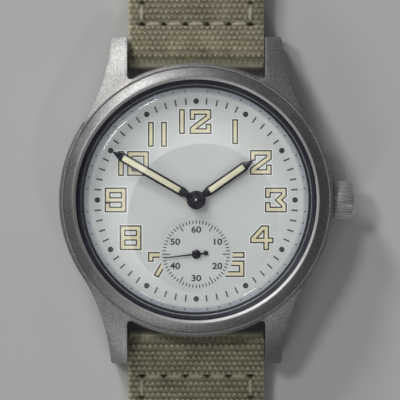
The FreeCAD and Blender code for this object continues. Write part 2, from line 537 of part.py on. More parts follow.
def make_bridges():
    wide = "bridge_radius + 1"
    # barrel bridge: the half towards 12 o'clock, with a window for the winding pinion
    disc_high = cylinder("barrel_bridge_disc", "bridge_radius", "barrel_bridge_bottom", "barrel_bridge_top")
    half_high = block("barrel_bridge_half", (f"-({wide})", "bridge_split", "0"), (wide, wide, "plate_bottom"))
    plate = common("barrel_bridge_plate", disc_high, half_high)
    feet = columns("barrel_foot", "1.1", "barrel_bridge_top - 0.1", "plate_bottom", barrel_screws)
    post = cylinder("crown_wheel_post", "0.8", "ratchet_bottom + 0.02", "barrel_bridge_bottom + 0.1",
                    "crown_wheel_x")
    openings = balance_clearance("barrel_side") + [
                block("winding_pinion_window", ("pinion_start - 0.15", "-1.45", "0"),
                      ("pinion_end + 0.15", "1.45", "plate_bottom")),
                cylinder("barrel_arbor_hole", "0.62", "0", "plate_bottom", "barrel_x", "barrel_y"),
                cylinder("centre_jewel_hole", "jewel_hole", "0", "plate_bottom")]
    openings += columns("barrel_bridge_screw_hole", "screw_hole", "0", "plate_bottom + 1", barrel_screws)
    solid = fuse("barrel_bridge_solid", [plate, post] + feet)
    keep("barrel_bridge", cut("barrel_bridge_cut", solid, openings))
    # train bridge: the half towards 6 o'clock
    disc_low = cylinder("train_bridge_disc", "bridge_radius", "train_bridge_bottom", "train_bridge_top")
    half_low = block("train_bridge_half", (f"-({wide})", f"-({wide})", "0"),
                     (wide, "bridge_split - bridge_slit", "plate_bottom"))
    plate = common("train_bridge_plate", disc_low, half_low)
    feet = columns("train_foot", "1.1", "train_bridge_top - 0.1", "plate_bottom", train_screws)
    openings = balance_clearance("train_side") + [
                block("crown_wheel_relief", ("3.2", "-4", "0"), (wide, "0", "barrel_bridge_bottom"))]
    openings += columns("train_jewel_hole", "jewel_hole", "0", "plate_bottom", train_spots)
    openings += columns("train_bridge_screw_hole", "screw_hole", "0", "plate_bottom + 1", train_screws)
    keep("train_bridge", cut("train_bridge_cut", fuse("train_bridge_solid", [plate] + feet), openings))
    # balance cock: a head over the balance and an arm out to a foot near the edge
    head = Part.makeCylinder(size("cock_head"), size("cock_top") - size("cock_bottom"))
    reach = math.hypot(*balance_spot)
    width = size("cock_width")
    tall = size("plate_bottom") - size("cock_bottom")
    arm = Part.makeBox(size("bridge_radius") - reach, width, size("cock_top") - size("cock_bottom"),
                       FreeCAD.Vector(0, -width / 2, 0))
    foot = Part.makeBox(1.35, 2 * width, tall, FreeCAD.Vector(11.45 - reach, -width, 0))
    edge = Part.makeCylinder(size("bridge_radius"), 2 * tall, FreeCAD.Vector(-reach, 0, -tall / 2))
    stud = Part.makeBox(0.35, 0.5, 0.85, FreeCAD.Vector(1.9, -0.25, 0))
    cock = head.fuse([arm, foot, stud]).common(edge)
    cock = cock.cut(Part.makeCylinder(size("jewel_hole"), tall, FreeCAD.Vector(0, 0, -0.5)))
    cock = cock.cut(Part.makeCylinder(size("screw_hole"), tall + 1,
                                      FreeCAD.Vector(cock_foot_reach - reach, 0, -0.5)))
    coded("balance_cock", cock, *balance_spot, size("cock_bottom"), math.degrees(balance_turn))
    # pallet bridge: a low bar with a foot at each end
    low, high = size("pallet_bridge_bottom"), size("pallet_bridge_top")
    foot = pallet_foot_reach
    bar = Part.makeBox(1.0, 2 * foot, high - low, FreeCAD.Vector(-0.5, -foot, low))
    posts = [Part.makeCylinder(0.5, size("plate_bottom") - low, FreeCAD.Vector(0, side * foot, low))
             for side in (1, -1)]
    hole = Part.makeCylinder(size("jewel_hole") - 0.2, 2, FreeCAD.Vector(0, 0, low - 0.5))
    bridge = bar.fuse(posts).cut(hole)
    for side in (1, -1):
        foot_hole = Part.makeCylinder(size("screw_hole") - 0.1, 3, FreeCAD.Vector(0, side * foot, 2))
        bridge = bridge.cut(foot_hole)
    coded("pallet_bridge", bridge, *pallet_spot, 0, math.degrees(pallet_turn))


def screw(spot, top, length, head, shank):
    # a slotted screw whose head stands on the surface at the given height and whose shank goes up
    x, y = spot
    high = size("screw_head_height")
    shape = Part.makeCylinder(head, high, FreeCAD.Vector(x, y, top - high))
    shape = shape.fuse(Part.makeCylinder(shank, length, FreeCAD.Vector(x, y, top - 0.05)))
    slot_width, slot_depth = 0.16, 0.14
    slot_corner = FreeCAD.Vector(x - head - 0.5, y - slot_width / 2, top - high)
    return shape.cut(Part.makeBox(2 * head + 1, slot_width, slot_depth, slot_corner))


def make_screws():
    shank = size("screw_shank")
    head = size("screw_head")
    screws = [screw(spot, size("barrel_bridge_bottom"), 2.3, head, shank) for spot in barrel_screws]
    screws += [screw(spot, size("train_bridge_bottom"), 2.65, head, shank) for spot in train_screws]
    screws.append(screw(cock_screw, size("cock_bottom"), 3.5, head, shank))
    screws += [screw(spot, size("pallet_bridge_bottom"), 1.6, 0.45, 0.24) for spot in pallet_feet]
    coded("bridge_screws", Part.makeCompound(screws))
    spots = [tuple(polar(size("case_screw_reach"), turn))[:2] for turn in case_screw_turns]
    coded("casing_screws", Part.makeCompound([
        screw(spot, size("clamp_step") - 0.03, 1.0, size("case_screw_head"), shank) for spot in spots]))


def make_jewels():
    def jewel(spot, bottom, radius, hole, thickness=0.35):
        ring_shape = disc(radius, bottom, bottom + thickness, hole)
        ring_shape.translate(FreeCAD.Vector(*spot, 0))
        return ring_shape

    radius = size("jewel_radius")
    plate = size("plate_bottom") + 0.02
    jewels = [jewel(spot, plate, radius, hole) for spot, hole in
              ((third_spot, 0.14), (fourth_spot, 0.21), (escape_spot, 0.12), (balance_spot, 0.1),
               (pallet_spot, 0.12))]
    jewels += [jewel(spot, size("train_bridge_bottom") + 0.1, radius, 0.14) for spot in train_spots]
    jewels.append(jewel((0, 0), size("barrel_bridge_bottom"), radius, 0.24, 0.34))
    jewels.append(jewel(balance_spot, size("cock_bottom") + 0.05, radius, 0.1))
    jewels.append(jewel(pallet_spot, size("pallet_bridge_bottom"), radius - 0.2, 0.12))
    coded("jewels", Part.makeCompound(jewels))


# ---------------------------------------------------------------- going train
def arbor(bottom, top, radius, pivot, low_pivot, high_pivot):
    # a shaft with a thinner pivot at each end
    shape = disc(radius, bottom, top)
    return shape.fuse([disc(pivot, low_pivot, bottom + 0.05), disc(pivot, top - 0.05, high_pivot)])


def direction(start, end):
    return math.atan2(end[1] - start[1], end[0] - start[0])


def make_train():
    plate = size("plate_bottom")
    # barrel drum with the great wheel's teeth, its cover, arbor and mainspring
    to_centre = direction(barrel_spot, (0, 0))
    low, high = size("barrel_bottom"), size("barrel_top")
    wall, inner = size("barrel_wall_radius"), size("barrel_inner")
    drum = toothed(80, 0.13, low + 0.05, size("barrel_teeth_top"), to_centre)
    drum = drum.fuse(disc(wall, low + 0.05, high)).cut(disc(inner, size("barrel_teeth_top") - 0.05, high + 1))
    coded("barrel_drum", drum.cut(disc(0.62, low - 1, high)), *barrel_spot)
    coded("barrel_cover", disc(inner - 0.03, high - 0.25, high - 0.03, 0.62), *barrel_spot)
    core = disc(1.0, size("barrel_teeth_top") + 0.03, high - 0.3)
    core = core.fuse([disc(0.58, size("ratchet_top") + 0.03, high - 0.1), disc(0.4, high - 0.2, high + 0.45)])
    square = Part.makeBox(0.76, 0.76, 0.5, FreeCAD.Vector(-0.38, -0.38, size("ratchet_bottom") + 0.02))
    core = core.fuse(square)
    coded("barrel_arbor", core.cut(disc(0.2, size("ratchet_bottom") - 1, 3.2)), *barrel_spot)
    coded("mainspring", spiral(1.25, inner - 0.15, 11, 0.12, size("barrel_teeth_top") + 0.05, high - 0.35),
          *barrel_spot)
    # centre wheel with its long arbor
    centre_phase = direction((0, 0), third_spot)
    centre = toothed(80, 0.115, size("centre_bottom"), size("centre_top"), centre_phase)
    centre = crossed(centre, 5, 1.1, 3.8, size("centre_bottom"), size("centre_top"), 0.45)
    pinion = toothed(10, 0.13, size("centre_top"), 4.1, meshed(80, to_centre, 10, to_centre), 1.3, 0.8)
    centre = centre.fuse([pinion, disc(0.3, 3.12, 5.2), disc(0.21, 2.78, 3.15), disc(0.22, 5.15, 8.2)])
    coded("centre_wheel", centre)
    # third wheel
    to_fourth = direction(third_spot, fourth_spot)
    third = toothed(75, 0.1, size("third_bottom"), size("third_top"), to_fourth)
    third = crossed(third, 5, 0.8, 3.1, size("third_bottom"), size("third_top"), 0.35)
    pinion = toothed(10, 0.115, 3.12, 3.42, meshed(80, centre_phase, 10, centre_phase), 1.3, 0.8)
    coded("third_wheel", third.fuse([pinion, arbor(3.08, plate - 0.02, 0.25, 0.1, 2.55, 4.8)]), *third_spot)
    # fourth wheel, whose arbor carries the seconds hand
    to_escape = direction(fourth_spot, escape_spot)
    fourth = toothed(80, 0.085, size("fourth_bottom"), size("fourth_top"), to_escape)
    fourth = crossed(fourth, 5, 0.7, 2.8, size("fourth_bottom"), size("fourth_top"), 0.3)
    pinion = toothed(10, 0.1, 4.03, 4.33, meshed(75, to_fourth, 10, to_fourth), 1.3, 0.8)
    shaft = arbor(3.08, plate - 0.02, 0.25, 0.1, 2.55, 4.8).fuse(disc(0.17, 4.3, 7.12))
    coded("fourth_wheel", fourth.fuse([pinion, shaft]), *fourth_spot)
    # escape wheel: fifteen raked teeth
    points = []
    for tooth in range(15):
        for radius, share in ((1.6, 0.0), (2.15, 0.22), (2.15, 0.32), (1.6, 0.42)):
            spot = polar(radius, pallet_turn + full_turn * (tooth + share - 0.5) / 15)
            points.append((spot.x, spot.y))
    escape = crossed(slab(points, size("third_bottom"), size("third_top")), 4, 0.5, 1.3,
                     size("third_bottom"), size("third_top"), 0.25)
    pinion = toothed(8, 0.085, 3.5, 3.76, meshed(80, to_escape, 8, to_escape), 1.3, 0.8)
    shaft = arbor(3.08, plate - 0.02, 0.18, 0.09, 2.55, 4.8)
    coded("escape_wheel", escape.fuse([pinion, shaft]), *escape_spot)
    make_pallet_fork(plate)
    make_balance(plate)


def make_pallet_fork(plate):
    # lever with two pallets towards the escape wheel and a slotted fork towards the balance
    low, high = 4.06, 4.3
    fork_end = math.dist(pallet_spot, balance_spot) - 0.48
    lever = slab([(-0.2, -0.22), (0.5, -0.14), (fork_end - 0.6, -0.1), (fork_end - 0.45, -0.3),
                  (fork_end, -0.3), (fork_end, 0.3), (fork_end - 0.45, 0.3), (fork_end - 0.6, 0.1),
                  (0.5, 0.14), (-0.2, 0.22)], low, high)
    lever = lever.cut(slab([(fork_end - 0.4, -0.15), (fork_end + 1, -0.15), (fork_end + 1, 0.15),
                            (fork_end - 0.4, 0.15)], low - 0.1, high + 0.1))
    arms = [slab([(0.15, 0), (-0.75, side * 1.35), (-0.98, side * 1.3), (-0.15, 0)], low, high)
            for side in (1, -1)]
    shape = lever.fuse(arms + [disc(0.3, low, high), arbor(3.9, plate - 0.02, 0.15, 0.09, 3.5, 4.75)])
    coded("pallet_fork", shape, *pallet_spot, 0, math.degrees(pallet_turn))


def make_balance(plate):
    # rim with two arms on a staff, the roller with its impulse pin, and the coiled hairspring
    low, high = size("balance_bottom"), size("balance_top")
    radius = size("balance_radius")
    inner = radius - size("balance_rim")
    rim = disc(radius, low, high, inner)
    arm = Part.makeBox(2 * inner + 0.2, 0.5, 0.2, FreeCAD.Vector(-inner - 0.1, -0.25, low + 0.12))
    staff = arbor(2.0, plate - 0.02, 0.22, 0.07, 1.5, 4.8)
    roller = disc(0.9, 3.88, 3.98)
    pin = Part.makeCylinder(0.09, 0.4, FreeCAD.Vector(-0.7, 0, 3.95))
    shape = rim.fuse([arm, staff, disc(0.5, low, low + 0.35), roller, pin])
    coded("balance", shape, *balance_spot, 0, math.degrees(pallet_turn))
    hub = size("hairspring_bottom")
    coded("hairspring", spiral(0.42, 1.75, 11, 0.035, hub, size("hairspring_top")), *balance_spot, 0,
          math.degrees(balance_turn))
    index = disc(1.05, 1.2, 1.4, 0.6)
    tail = slab([(-0.3, 0.9), (0.3, 0.9), (0.12, 3.4), (-0.12, 3.4)], 1.2, 1.4)
    pin_arm = slab([(-0.25, -0.9), (0.25, -0.9), (0.25, -2.05), (-0.25, -2.05)], 1.2, 1.4)
    pins = Part.makeCylinder(0.1, 1.0, FreeCAD.Vector(0, -1.9, 1.3))
    coded("regulator", index.fuse([tail, pin_arm, pins]), *balance_spot, 0, math.degrees(balance_turn))


# ---------------------------------------------------------------- winding work
def make_winding():
    low, high = size("ratchet_bottom"), size("ratchet_top")
    crown_wheel_spot = (size("crown_wheel_x"), 0.0)
    to_ratchet = direction(crown_wheel_spot, barrel_spot)
    crown_phase = 0.0
    crown_wheel = toothed(27, 0.2, low, high, crown_phase).cut(disc(0.84, low - 1, high + 1))
    coded("crown_wheel", crown_wheel, *crown_wheel_spot)
    ratchet = toothed(45, 0.2, low, high, meshed(27, crown_phase, 45, to_ratchet))
    hole = Part.makeBox(0.8, 0.8, 2, FreeCAD.Vector(-0.4, -0.4, low - 1))
    coded("ratchet_wheel", ratchet.cut(hole), *barrel_spot)
    head = disc(1.25, low - 0.35, low - 0.02).fuse(disc(0.18, low - 0.1, 3.1))
    slot = Part.makeBox(3, 0.3, 0.18, FreeCAD.Vector(-1.5, -0.15, low - 0.36))
    coded("ratchet_screw", head.cut(slot), *barrel_spot)
    # click: a pawl that lets the ratchet turn one way, on its own post, with a wire spring
    click_turn = math.radians(150)
    click_spot = tuple(base + 6.0 * part for base, part in
                       zip(barrel_spot, (math.cos(click_turn), math.sin(click_turn))))
    pawl = slab([(0.5, -0.5), (1.0, 0.4), (1.68, 1.5), (1.62, 1.85), (1.25, 1.8), (-0.4, 0.6), (-0.5, -0.5)],
                low, high)
    pawl = pawl.fuse(disc(0.7, low, high)).cut(disc(0.3, low - 1, high + 1))
    coded("click", pawl, *click_spot, 0, math.degrees(click_turn) + 180)
    wire = slab([(0, 0), (3.2, 0.35), (3.2, 0.47), (0, 0.12)], low + 0.08, high - 0.08)
    wire = wire.fuse(Part.makeCylinder(0.35, high - low, FreeCAD.Vector(3.35, 0.4, low)))
    coded("click_spring", wire, click_spot[0] - 1.1, click_spot[1] + 0.75, 0, 215)


def crosswise(label, shape):
    # turns a shape made about Z so that it lies along the stem's axis, +Z to +X
    item = doc.addObject("Part::Feature", f"{label}_shape")
    item.Shape = shape
    item.Placement = FreeCAD.Placement(FreeCAD.Vector(0, 0, size("stem_height")),
                                       FreeCAD.Rotation(FreeCAD.Vector(0, 1, 0), 90))
    keep(label, item)


def make_keyless_work():
    start, end = size("pinion_start"), size("pinion_end")
    radius = size("stem_radius")
    pinion = toothed(16, 0.2, start, end, 0.0, 1.0, 0.5)
    crosswise("winding_pinion", pinion.cut(disc(radius + 0.04, start, end)))
    # clutch: slides on the stem's square, with a groove for the yoke and teeth at both ends
    start, end = size("clutch_start"), size("clutch_end")
    square = size("square")
    body = disc(size("clutch_radius") - 0.12, start + 0.2, end - 0.2)
    body = body.fuse([toothed(16, 0.125, low, low + 0.3, 0, 1.0, 0.8) for low in (start, end - 0.3)])
    groove = disc(2, end - 0.75, end - 0.35, 0.78)
    hole = Part.makeBox(square + 0.08, square + 0.08, 3,
                        FreeCAD.Vector(-square / 2 - 0.04, -square / 2 - 0.04, start - 1))
    crosswise("clutch", body.cut(groove).cut(hole))
    # stem: pilot end, square, round shaft with the setting lever's groove
    pilot = disc(0.3, size("stem_start"), size("stem_start") + 0.7)
    shank = Part.makeBox(square, square, size("square_end") - size("stem_start") - 0.6,
                         FreeCAD.Vector(-square / 2, -square / 2, size("stem_start") + 0.6))
    shaft = disc(radius, size("square_end"), size("stem_end"))
    notch = disc(2, size("stem_groove") - size("groove_width") / 2 - 0.1,
                 size("stem_groove") + size("groove_width") / 2 + 0.1, size("groove_radius"))
    crosswise("winding_stem", pilot.fuse([shank, shaft]).cut(notch))
    low, high = size("lever_bottom"), size("lever_top")
    pivot = size("lever_pivot")
    lever = slab([(-0.6, 0.5), (0.6, 0.5), (0.3, -pivot - 0.25), (-0.3, -pivot - 0.25)], low, high)
    lever = lever.fuse([disc(0.3, low - 0.9, high),
                        Part.makeCylinder(0.17, high - 4.68, FreeCAD.Vector(0, -pivot, 4.68))])
    coded("setting_lever", lever, size("stem_groove"), pivot)
    pivot = size("yoke_pivot")
    nib = size("yoke_nib") - pivot
    yoke = slab([(-0.45, -0.5), (0.45, -0.5), (0.25, nib + 0.2), (-0.25, nib + 0.2)], low, high)
    yoke = yoke.fuse([disc(0.3, low - 0.9, high), Part.makeCylinder(0.13, high - 4.3,
                                                                    FreeCAD.Vector(0, nib, 4.3))])
    coded("yoke", yoke, size("clutch_end") - 0.55, pivot)
    # motion work: cannon pinion, minute wheel, hour wheel and the setting wheel
    low, high = size("works_bottom"), size("works_top")
    cannon = toothed(12, 0.1, low - 0.04, high + 0.08, 0.0, 1.3, 0.8).fuse(disc(0.49, high, 7.98))
    coded("cannon_pinion", cannon.cut(disc(0.24, low - 1, 9)))
    minute_phase = meshed(12, 0.0, 36, 0.0)
    minute = toothed(36, 0.1, low, high, minute_phase)
    minute_pinion_phase = 0.0
    minute = minute.fuse([toothed(10, 0.096, high - 0.02, 6.0, minute_pinion_phase, 1.3, 0.8),
                          disc(0.22, size("works_floor") - 0.4, low + 0.05)])
    coded("minute_wheel", minute, size("minute_wheel_x"), 0)
    hour_low, hour_high = size("hour_bottom"), size("hour_top")
    hour = toothed(40, 0.096, hour_low, hour_high, meshed(10, minute_pinion_phase, 40, math.pi))
    hour = hour.fuse(disc(0.85, hour_low, 7.5)).cut(disc(0.54, hour_low - 1, 9))
    coded("hour_wheel", hour)
    setting = toothed(18, 0.1, low, high, meshed(36, minute_phase, 18, 0.0))
    setting = setting.fuse(disc(0.22, size("works_floor") - 0.4, low + 0.05))
    coded("setting_wheel", setting, size("setting_wheel_x"), 0)


# ---------------------------------------------------------------- crown
def make_crown():
    start, end = size("crown_start"), size("crown_end")
    radius, chamfer = size("crown_radius"), size("crown_chamfer")
    profile = [(0, start), (radius - 0.12, start), (radius, start + 0.12), (radius, end - chamfer),
               (radius - chamfer * 0.8, end - 0.12), (radius - chamfer * 1.6, end), (0, end)]
    outline = Part.makePolygon([FreeCAD.Vector(x, 0, z) for x, z in profile + profile[:1]])
    head = Part.Face(outline).revolve(FreeCAD.Vector(0, 0, 0), FreeCAD.Vector(0, 0, 1), 360)
    flutes = []
    for flute in range(crown_flutes):
        spot = polar(radius + 0.03, full_turn * flute / crown_flutes, start - 1)
        flutes.append(Part.makeCylinder(size("flute_radius"), end - start + 2, spot))
    head = head.cut(flutes)
    head = head.cut(disc(size("crown_cavity"), start - 1, size("crown_cavity_end")))
    head = head.cut(disc(size("stem_radius") + 0.02, start, size("stem_end") + 0.02))
    crosswise("crown", head)
    crosswise("crown_gasket", disc(size("crown_cavity") - 0.02, start + 0.7, start + 1.1,
                                   size("tube_radius") + 0.02))


# ---------------------------------------------------------------- strap, spring bars and buckle
def make_strap_buckle_side():
    # side view in Y and Z: a loop round the spring bar, a turned-back hem, the single canvas, a second loop
    far = [("flat_reach", "strap_low"), ("buckle_reach", "strap_low", "loop_radius"),
           ("buckle_reach + loop_radius", "strap_low + loop_radius", "loop_radius"),
           ("buckle_reach", "strap_low + 2 * loop_radius"),
           ("buckle_hem + 5", "strap_low + 2 * canvas"), ("buckle_hem", "strap_low + 2 * canvas"),
           ("buckle_hem", "strap_low + canvas"),
           ("hem_reach", "strap_low + canvas - 0.28"), ("hem_reach", "strap_low + 2 * canvas - 0.28"),
           ("stitch_reach", "strap_low + 2 * canvas - 0.45")]
    outline = [("bar_reach", "bar_height + loop_radius", "loop_radius"),
               ("bar_reach - loop_radius", "bar_height", "loop_radius"),
               ("bar_reach", "bar_height - loop_radius")]
    canvas = padded("buckle_side_canvas", outline + far, "-strap_width / 2", "strap_width / 2", "YZ_Plane")
    holes = [rod("buckle_side_bar_hole", "loop_hole", "-strap_width", "strap_width", "bar_reach",
                 "bar_height"),
             rod("buckle_bar_hole", "loop_hole", "-strap_width", "strap_width", "buckle_reach",
                 "strap_low + loop_radius"),
             block("tongue_slot", ("-tongue_gap", "buckle_reach - slot_length", "0"),
                   ("tongue_gap", "buckle_end", "9"))]
    keep("strap_buckle_side", cut("buckle_side_cut", canvas, holes))


def make_strap_hole_side():
    outline = [("-bar_reach", "bar_height - loop_radius", "loop_radius"),
               ("-bar_reach + loop_radius", "bar_height", "loop_radius"),
               ("-bar_reach", "bar_height + loop_radius"),
               ("-stitch_reach", "strap_floor + 2 * canvas + 0.3"),
               ("-hem_reach", "strap_floor + 2 * canvas"),
               ("-hem_reach", "strap_floor + canvas"), ("-tail_reach", "strap_floor + canvas"),
               ("-tail_reach", "strap_floor"), ("-stitch_reach", "strap_floor")]
    canvas = padded("hole_side_canvas", outline, "-strap_width / 2", "strap_width / 2", "YZ_Plane")
    plan = padded("hole_side_plan", [
        ("-strap_width / 2", "0"),
        ("-strap_width / 2", "-tail_reach + tail_corner", "strap_width / 2 + 0.5"),
        ("0", "-tail_reach", "strap_width / 2 + 0.5"),
        ("strap_width / 2", "-tail_reach + tail_corner"), ("strap_width / 2", "0")], "-1", "8")
    holes = [rod("hole_side_bar_hole", "loop_hole", "-strap_width", "strap_width", "-bar_reach",
                 "bar_height")]
    holes += [cylinder(f"strap_hole_{number}", "hole_radius", "-1", "6", "0",
                       f"-hole_first - {number} * hole_pitch") for number in range(strap_holes)]
    keep("strap_hole_side", cut("hole_side_cut", common("hole_side_shape", canvas, plan), holes))


def make_spring_bars():
    for name, side in (("12", 1), ("6", -1)):
        tube = rod(f"bar_outside_{name}", "bar_radius", "-bar_half", "bar_half", f"{side} * bar_reach",
                   "bar_height")
        bores = [rod(f"bar_bore_{name}_{end}", "bar_bore", start, stop, f"{side} * bar_reach", "bar_height")
                 for end, start, stop in (("left", "-bar_half - 1", "-bar_bore_start"),
                                          ("right", "bar_bore_start", "bar_half + 1"))]
        keep(f"spring_bar_tube_{name}", cut(f"bar_cut_{name}", tube, bores))
        for end, start, stop in (("left", "-pin_end", "-pin_start"), ("right", "pin_start", "pin_end")):
            keep(f"spring_bar_pin_{name}_{end}", rod(f"bar_pin_{name}_{end}", "pin_radius", start, stop,
                                                     f"{side} * bar_reach", "bar_height"))


def make_buckle():
    # the frame slopes from its bar down to the surface, so its side view cuts its plan
    middle = "strap_low + loop_radius"
    back, bend = "buckle_reach - 1.6", "buckle_reach + 1"
    low, high = f"{middle} - buckle_thickness / 2", f"{middle} + buckle_thickness / 2"
    rest_height = "strap_floor + buckle_thickness"
    side = padded("buckle_side_view", [
        (back, low), (bend, low), ("buckle_end", "strap_floor"), ("buckle_end", rest_height),
        (bend, high), (back, high)], "-buckle_outer", "buckle_outer", "YZ_Plane")
    plan = block("buckle_plan", ("-buckle_outer", back, "0"), ("buckle_outer", "buckle_end", "9"))
    window = block("buckle_window", ("-buckle_inner", "buckle_reach - 9", "-1"),
                   ("buckle_inner", "buckle_front", "9"))
    hole = rod("buckle_frame_hole", "buckle_bar_radius + 0.02", "-buckle_outer - 1", "buckle_outer + 1",
               "buckle_reach", middle)
    rest = block("tongue_rest", ("-tongue_width / 2 - 0.2", "buckle_front - 1", f"{rest_height} - 0.2"),
                 ("tongue_width / 2 + 0.2", "buckle_end + 1", "9"))
    keep("buckle_frame", cut("buckle_frame_cut", common("buckle_blank", side, plan), [window, hole, rest]))
    keep("buckle_bar", rod("buckle_bar_rod", "buckle_bar_radius", "-buckle_outer + 0.1", "buckle_outer - 0.1",
                           "buckle_reach", middle))
    # tongue: an eye round the bar and a prong that rests on the frame's front
    half = "tongue_width / 2"
    eye = rod("tongue_eye", "buckle_bar_radius + 0.75", f"-{half}", half, "buckle_reach", middle)
    prong = padded("tongue_prong", [
        ("buckle_reach + 0.4", f"{middle} + 0.55"), ("buckle_front - 0.3", f"{rest_height} + 0.02"),
        ("buckle_end + 0.6", f"{rest_height} - 0.15"), ("buckle_end + 0.6", f"{rest_height} + 0.55"),
        ("buckle_front - 0.3", f"{rest_height} + 0.95"), ("buckle_reach + 0.2", f"{middle} + 1.42")],
        f"-{half}", half, "YZ_Plane")
    bore = rod("tongue_bore", "buckle_bar_radius + 0.05", "-tongue_width", "tongue_width",
               "buckle_reach", middle)
    keep("buckle_tongue", cut("tongue_cut", fuse("tongue_solid", [eye, prong]), [bore]))


def make_keeper(label, reach):
    # a flat canvas loop round the strap
    floor = "keeper_bottom + keeper_wall"
    outer = block(f"{label}_outside",
                  ("-keeper_inner - keeper_wall", f"{reach} - keeper_length / 2", "keeper_bottom"),
                  ("keeper_inner + keeper_wall", f"{reach} + keeper_length / 2",
                   f"{floor} + keeper_height + keeper_wall"))
    inner = block(f"{label}_inside", ("-keeper_inner", f"{reach} - keeper_length", floor),
                  ("keeper_inner", f"{reach} + keeper_length", f"{floor} + keeper_height"))
    keep(label, cut(f"{label}_cut", outer, [inner]))


# ---------------------------------------------------------------- the whole watch
make_case_middle()
make_case_parts()
make_dial()
make_hands()
make_mainplate()
make_bridges()
make_screws()
make_jewels()
make_train()
make_winding()
make_keyless_work()
make_crown()
make_strap_buckle_side()
make_strap_hole_side()
make_spring_bars()
make_buckle()
make_keeper("fixed_keeper", "fixed_keeper")
make_keeper("sliding_keeper", "sliding_keeper")
doc.recompute()

failed = [item.Name for item in doc.Objects if {"Invalid", "Error"} & set(item.State)]
if failed:
    raise SystemExit(f"these objects did not compute: {failed}")
for label, item in pieces.items():
    if item.Shape.isNull() or not item.Shape.isValid() or not item.Shape.Solids:
        raise SystemExit(f"{label} has no valid solid")

os.makedirs("parts", exist_ok=True)
for label, item in pieces.items():
    item.Shape.exportStep(f"parts/{label}.step")
    print(f"{label}: {len(item.Shape.Solids)} solid(s), {item.Shape.Volume:.3f} mm3")
print(f"{len(pieces)} sub-parts written")
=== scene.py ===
import math
import random

import bmesh
import bpy
from mathutils import Matrix, Vector


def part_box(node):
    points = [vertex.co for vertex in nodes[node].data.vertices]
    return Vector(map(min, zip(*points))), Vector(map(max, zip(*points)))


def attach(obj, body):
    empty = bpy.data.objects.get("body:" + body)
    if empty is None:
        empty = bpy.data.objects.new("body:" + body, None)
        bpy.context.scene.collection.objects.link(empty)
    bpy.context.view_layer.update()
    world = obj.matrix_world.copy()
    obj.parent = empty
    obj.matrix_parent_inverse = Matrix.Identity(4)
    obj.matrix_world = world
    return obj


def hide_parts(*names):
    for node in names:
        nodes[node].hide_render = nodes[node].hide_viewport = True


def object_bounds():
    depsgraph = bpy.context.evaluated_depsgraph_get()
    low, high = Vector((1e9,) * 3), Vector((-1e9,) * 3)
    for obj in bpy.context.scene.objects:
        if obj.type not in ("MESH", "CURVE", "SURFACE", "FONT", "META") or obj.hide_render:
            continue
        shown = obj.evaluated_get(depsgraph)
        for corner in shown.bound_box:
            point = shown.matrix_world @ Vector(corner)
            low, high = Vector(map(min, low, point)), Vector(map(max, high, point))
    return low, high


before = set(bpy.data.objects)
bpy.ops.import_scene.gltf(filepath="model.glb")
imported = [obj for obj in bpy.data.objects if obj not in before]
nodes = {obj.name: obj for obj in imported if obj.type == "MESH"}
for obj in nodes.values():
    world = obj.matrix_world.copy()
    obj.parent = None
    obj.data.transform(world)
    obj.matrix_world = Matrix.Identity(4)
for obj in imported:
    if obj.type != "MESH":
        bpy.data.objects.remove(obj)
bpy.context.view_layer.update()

mm = 0.001
fullTurn = 2 * math.pi
random.seed(12)


def middle(node):
    # the middle of a solid's box
    low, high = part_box(node)
    return (low + high) / 2


def newObject(name, mesh):
    piece = bpy.data.objects.new(name, mesh)
    bpy.context.scene.collection.objects.link(piece)
    return piece


def meshObject(name, shape, material, smooth=True):
    mesh = bpy.data.meshes.new(name)
    shape.to_mesh(mesh)
    shape.free()
    for face in mesh.polygons:
        face.use_smooth = smooth
    mesh.materials.append(material)
    return newObject(name, mesh)


def finishPiece(piece, body, slotName, *replaced):
    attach(piece, body)
    if replaced:
        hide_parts(*replaced)


def applied(piece):
    # turns the modifiers into mesh
    graph = bpy.context.evaluated_depsgraph_get()
    mesh = bpy.data.meshes.new_from_object(piece.evaluated_get(graph))
    piece.modifiers.clear()
    piece.data = mesh


class Finish:
    # a new material with its Principled shader and short ways to add nodes
    def __init__(self, name, **settings):
        self.material = bpy.data.materials.new(name)
        self.material.use_nodes = True
        self.tree = self.material.node_tree
        self.shader = self.tree.nodes["Principled BSDF"]
        self.output = self.tree.nodes["Material Output"]
        for socket, value in settings.items():
            self.shader.inputs[socket.replace("_", " ")].default_value = value

    def add(self, kind, inputs=None, **settings):
        node = self.tree.nodes.new(kind)
        for name, value in settings.items():
            setattr(node, name, value)
        for key, value in (inputs or {}).items():
            if isinstance(value, bpy.types.NodeSocket):
                self.tree.links.new(value, node.inputs[key])
            else:
                node.inputs[key].default_value = value
        return node

    def link(self, socket, key):
        self.tree.links.new(socket, self.shader.inputs[key])

    def place(self, source="Object"):
        return self.add("ShaderNodeTexCoord").outputs[source]

    def noise(self, scale, detail=3.0, where=None, roughness=0.5):
        return self.add("ShaderNodeTexNoise", {"Vector": where or self.place(), "Scale": scale,
                                               "Detail": detail, "Roughness": roughness}).outputs["Fac"]

    def maths(self, operation, first, second=0.0, clamp=False):
        return self.add("ShaderNodeMath", {0: first, 1: second}, operation=operation,
                        use_clamp=clamp).outputs[0]

    def spread(self, value, low, high, fromLow=0.3, fromHigh=0.7):
        return self.add("ShaderNodeMapRange", {"Value": value, "From Min": fromLow, "From Max": fromHigh,
                                               "To Min": low, "To Max": high}).outputs["Result"]

    def colours(self, value, *stops):
        ramp = self.add("ShaderNodeValToRGB", {"Fac": value})
        while len(ramp.color_ramp.elements) < len(stops):
            ramp.color_ramp.elements.new(0.5)
        for element, (position, colour) in zip(ramp.color_ramp.elements, stops):
            element.position = position
            element.color = (*colour, 1)
        return ramp.outputs["Color"]

    def bump(self, height, distance, strength=1.0):
        node = self.add("ShaderNodeBump", {"Height": height, "Distance": distance, "Strength": strength})
        self.link(node.outputs["Normal"], "Normal")


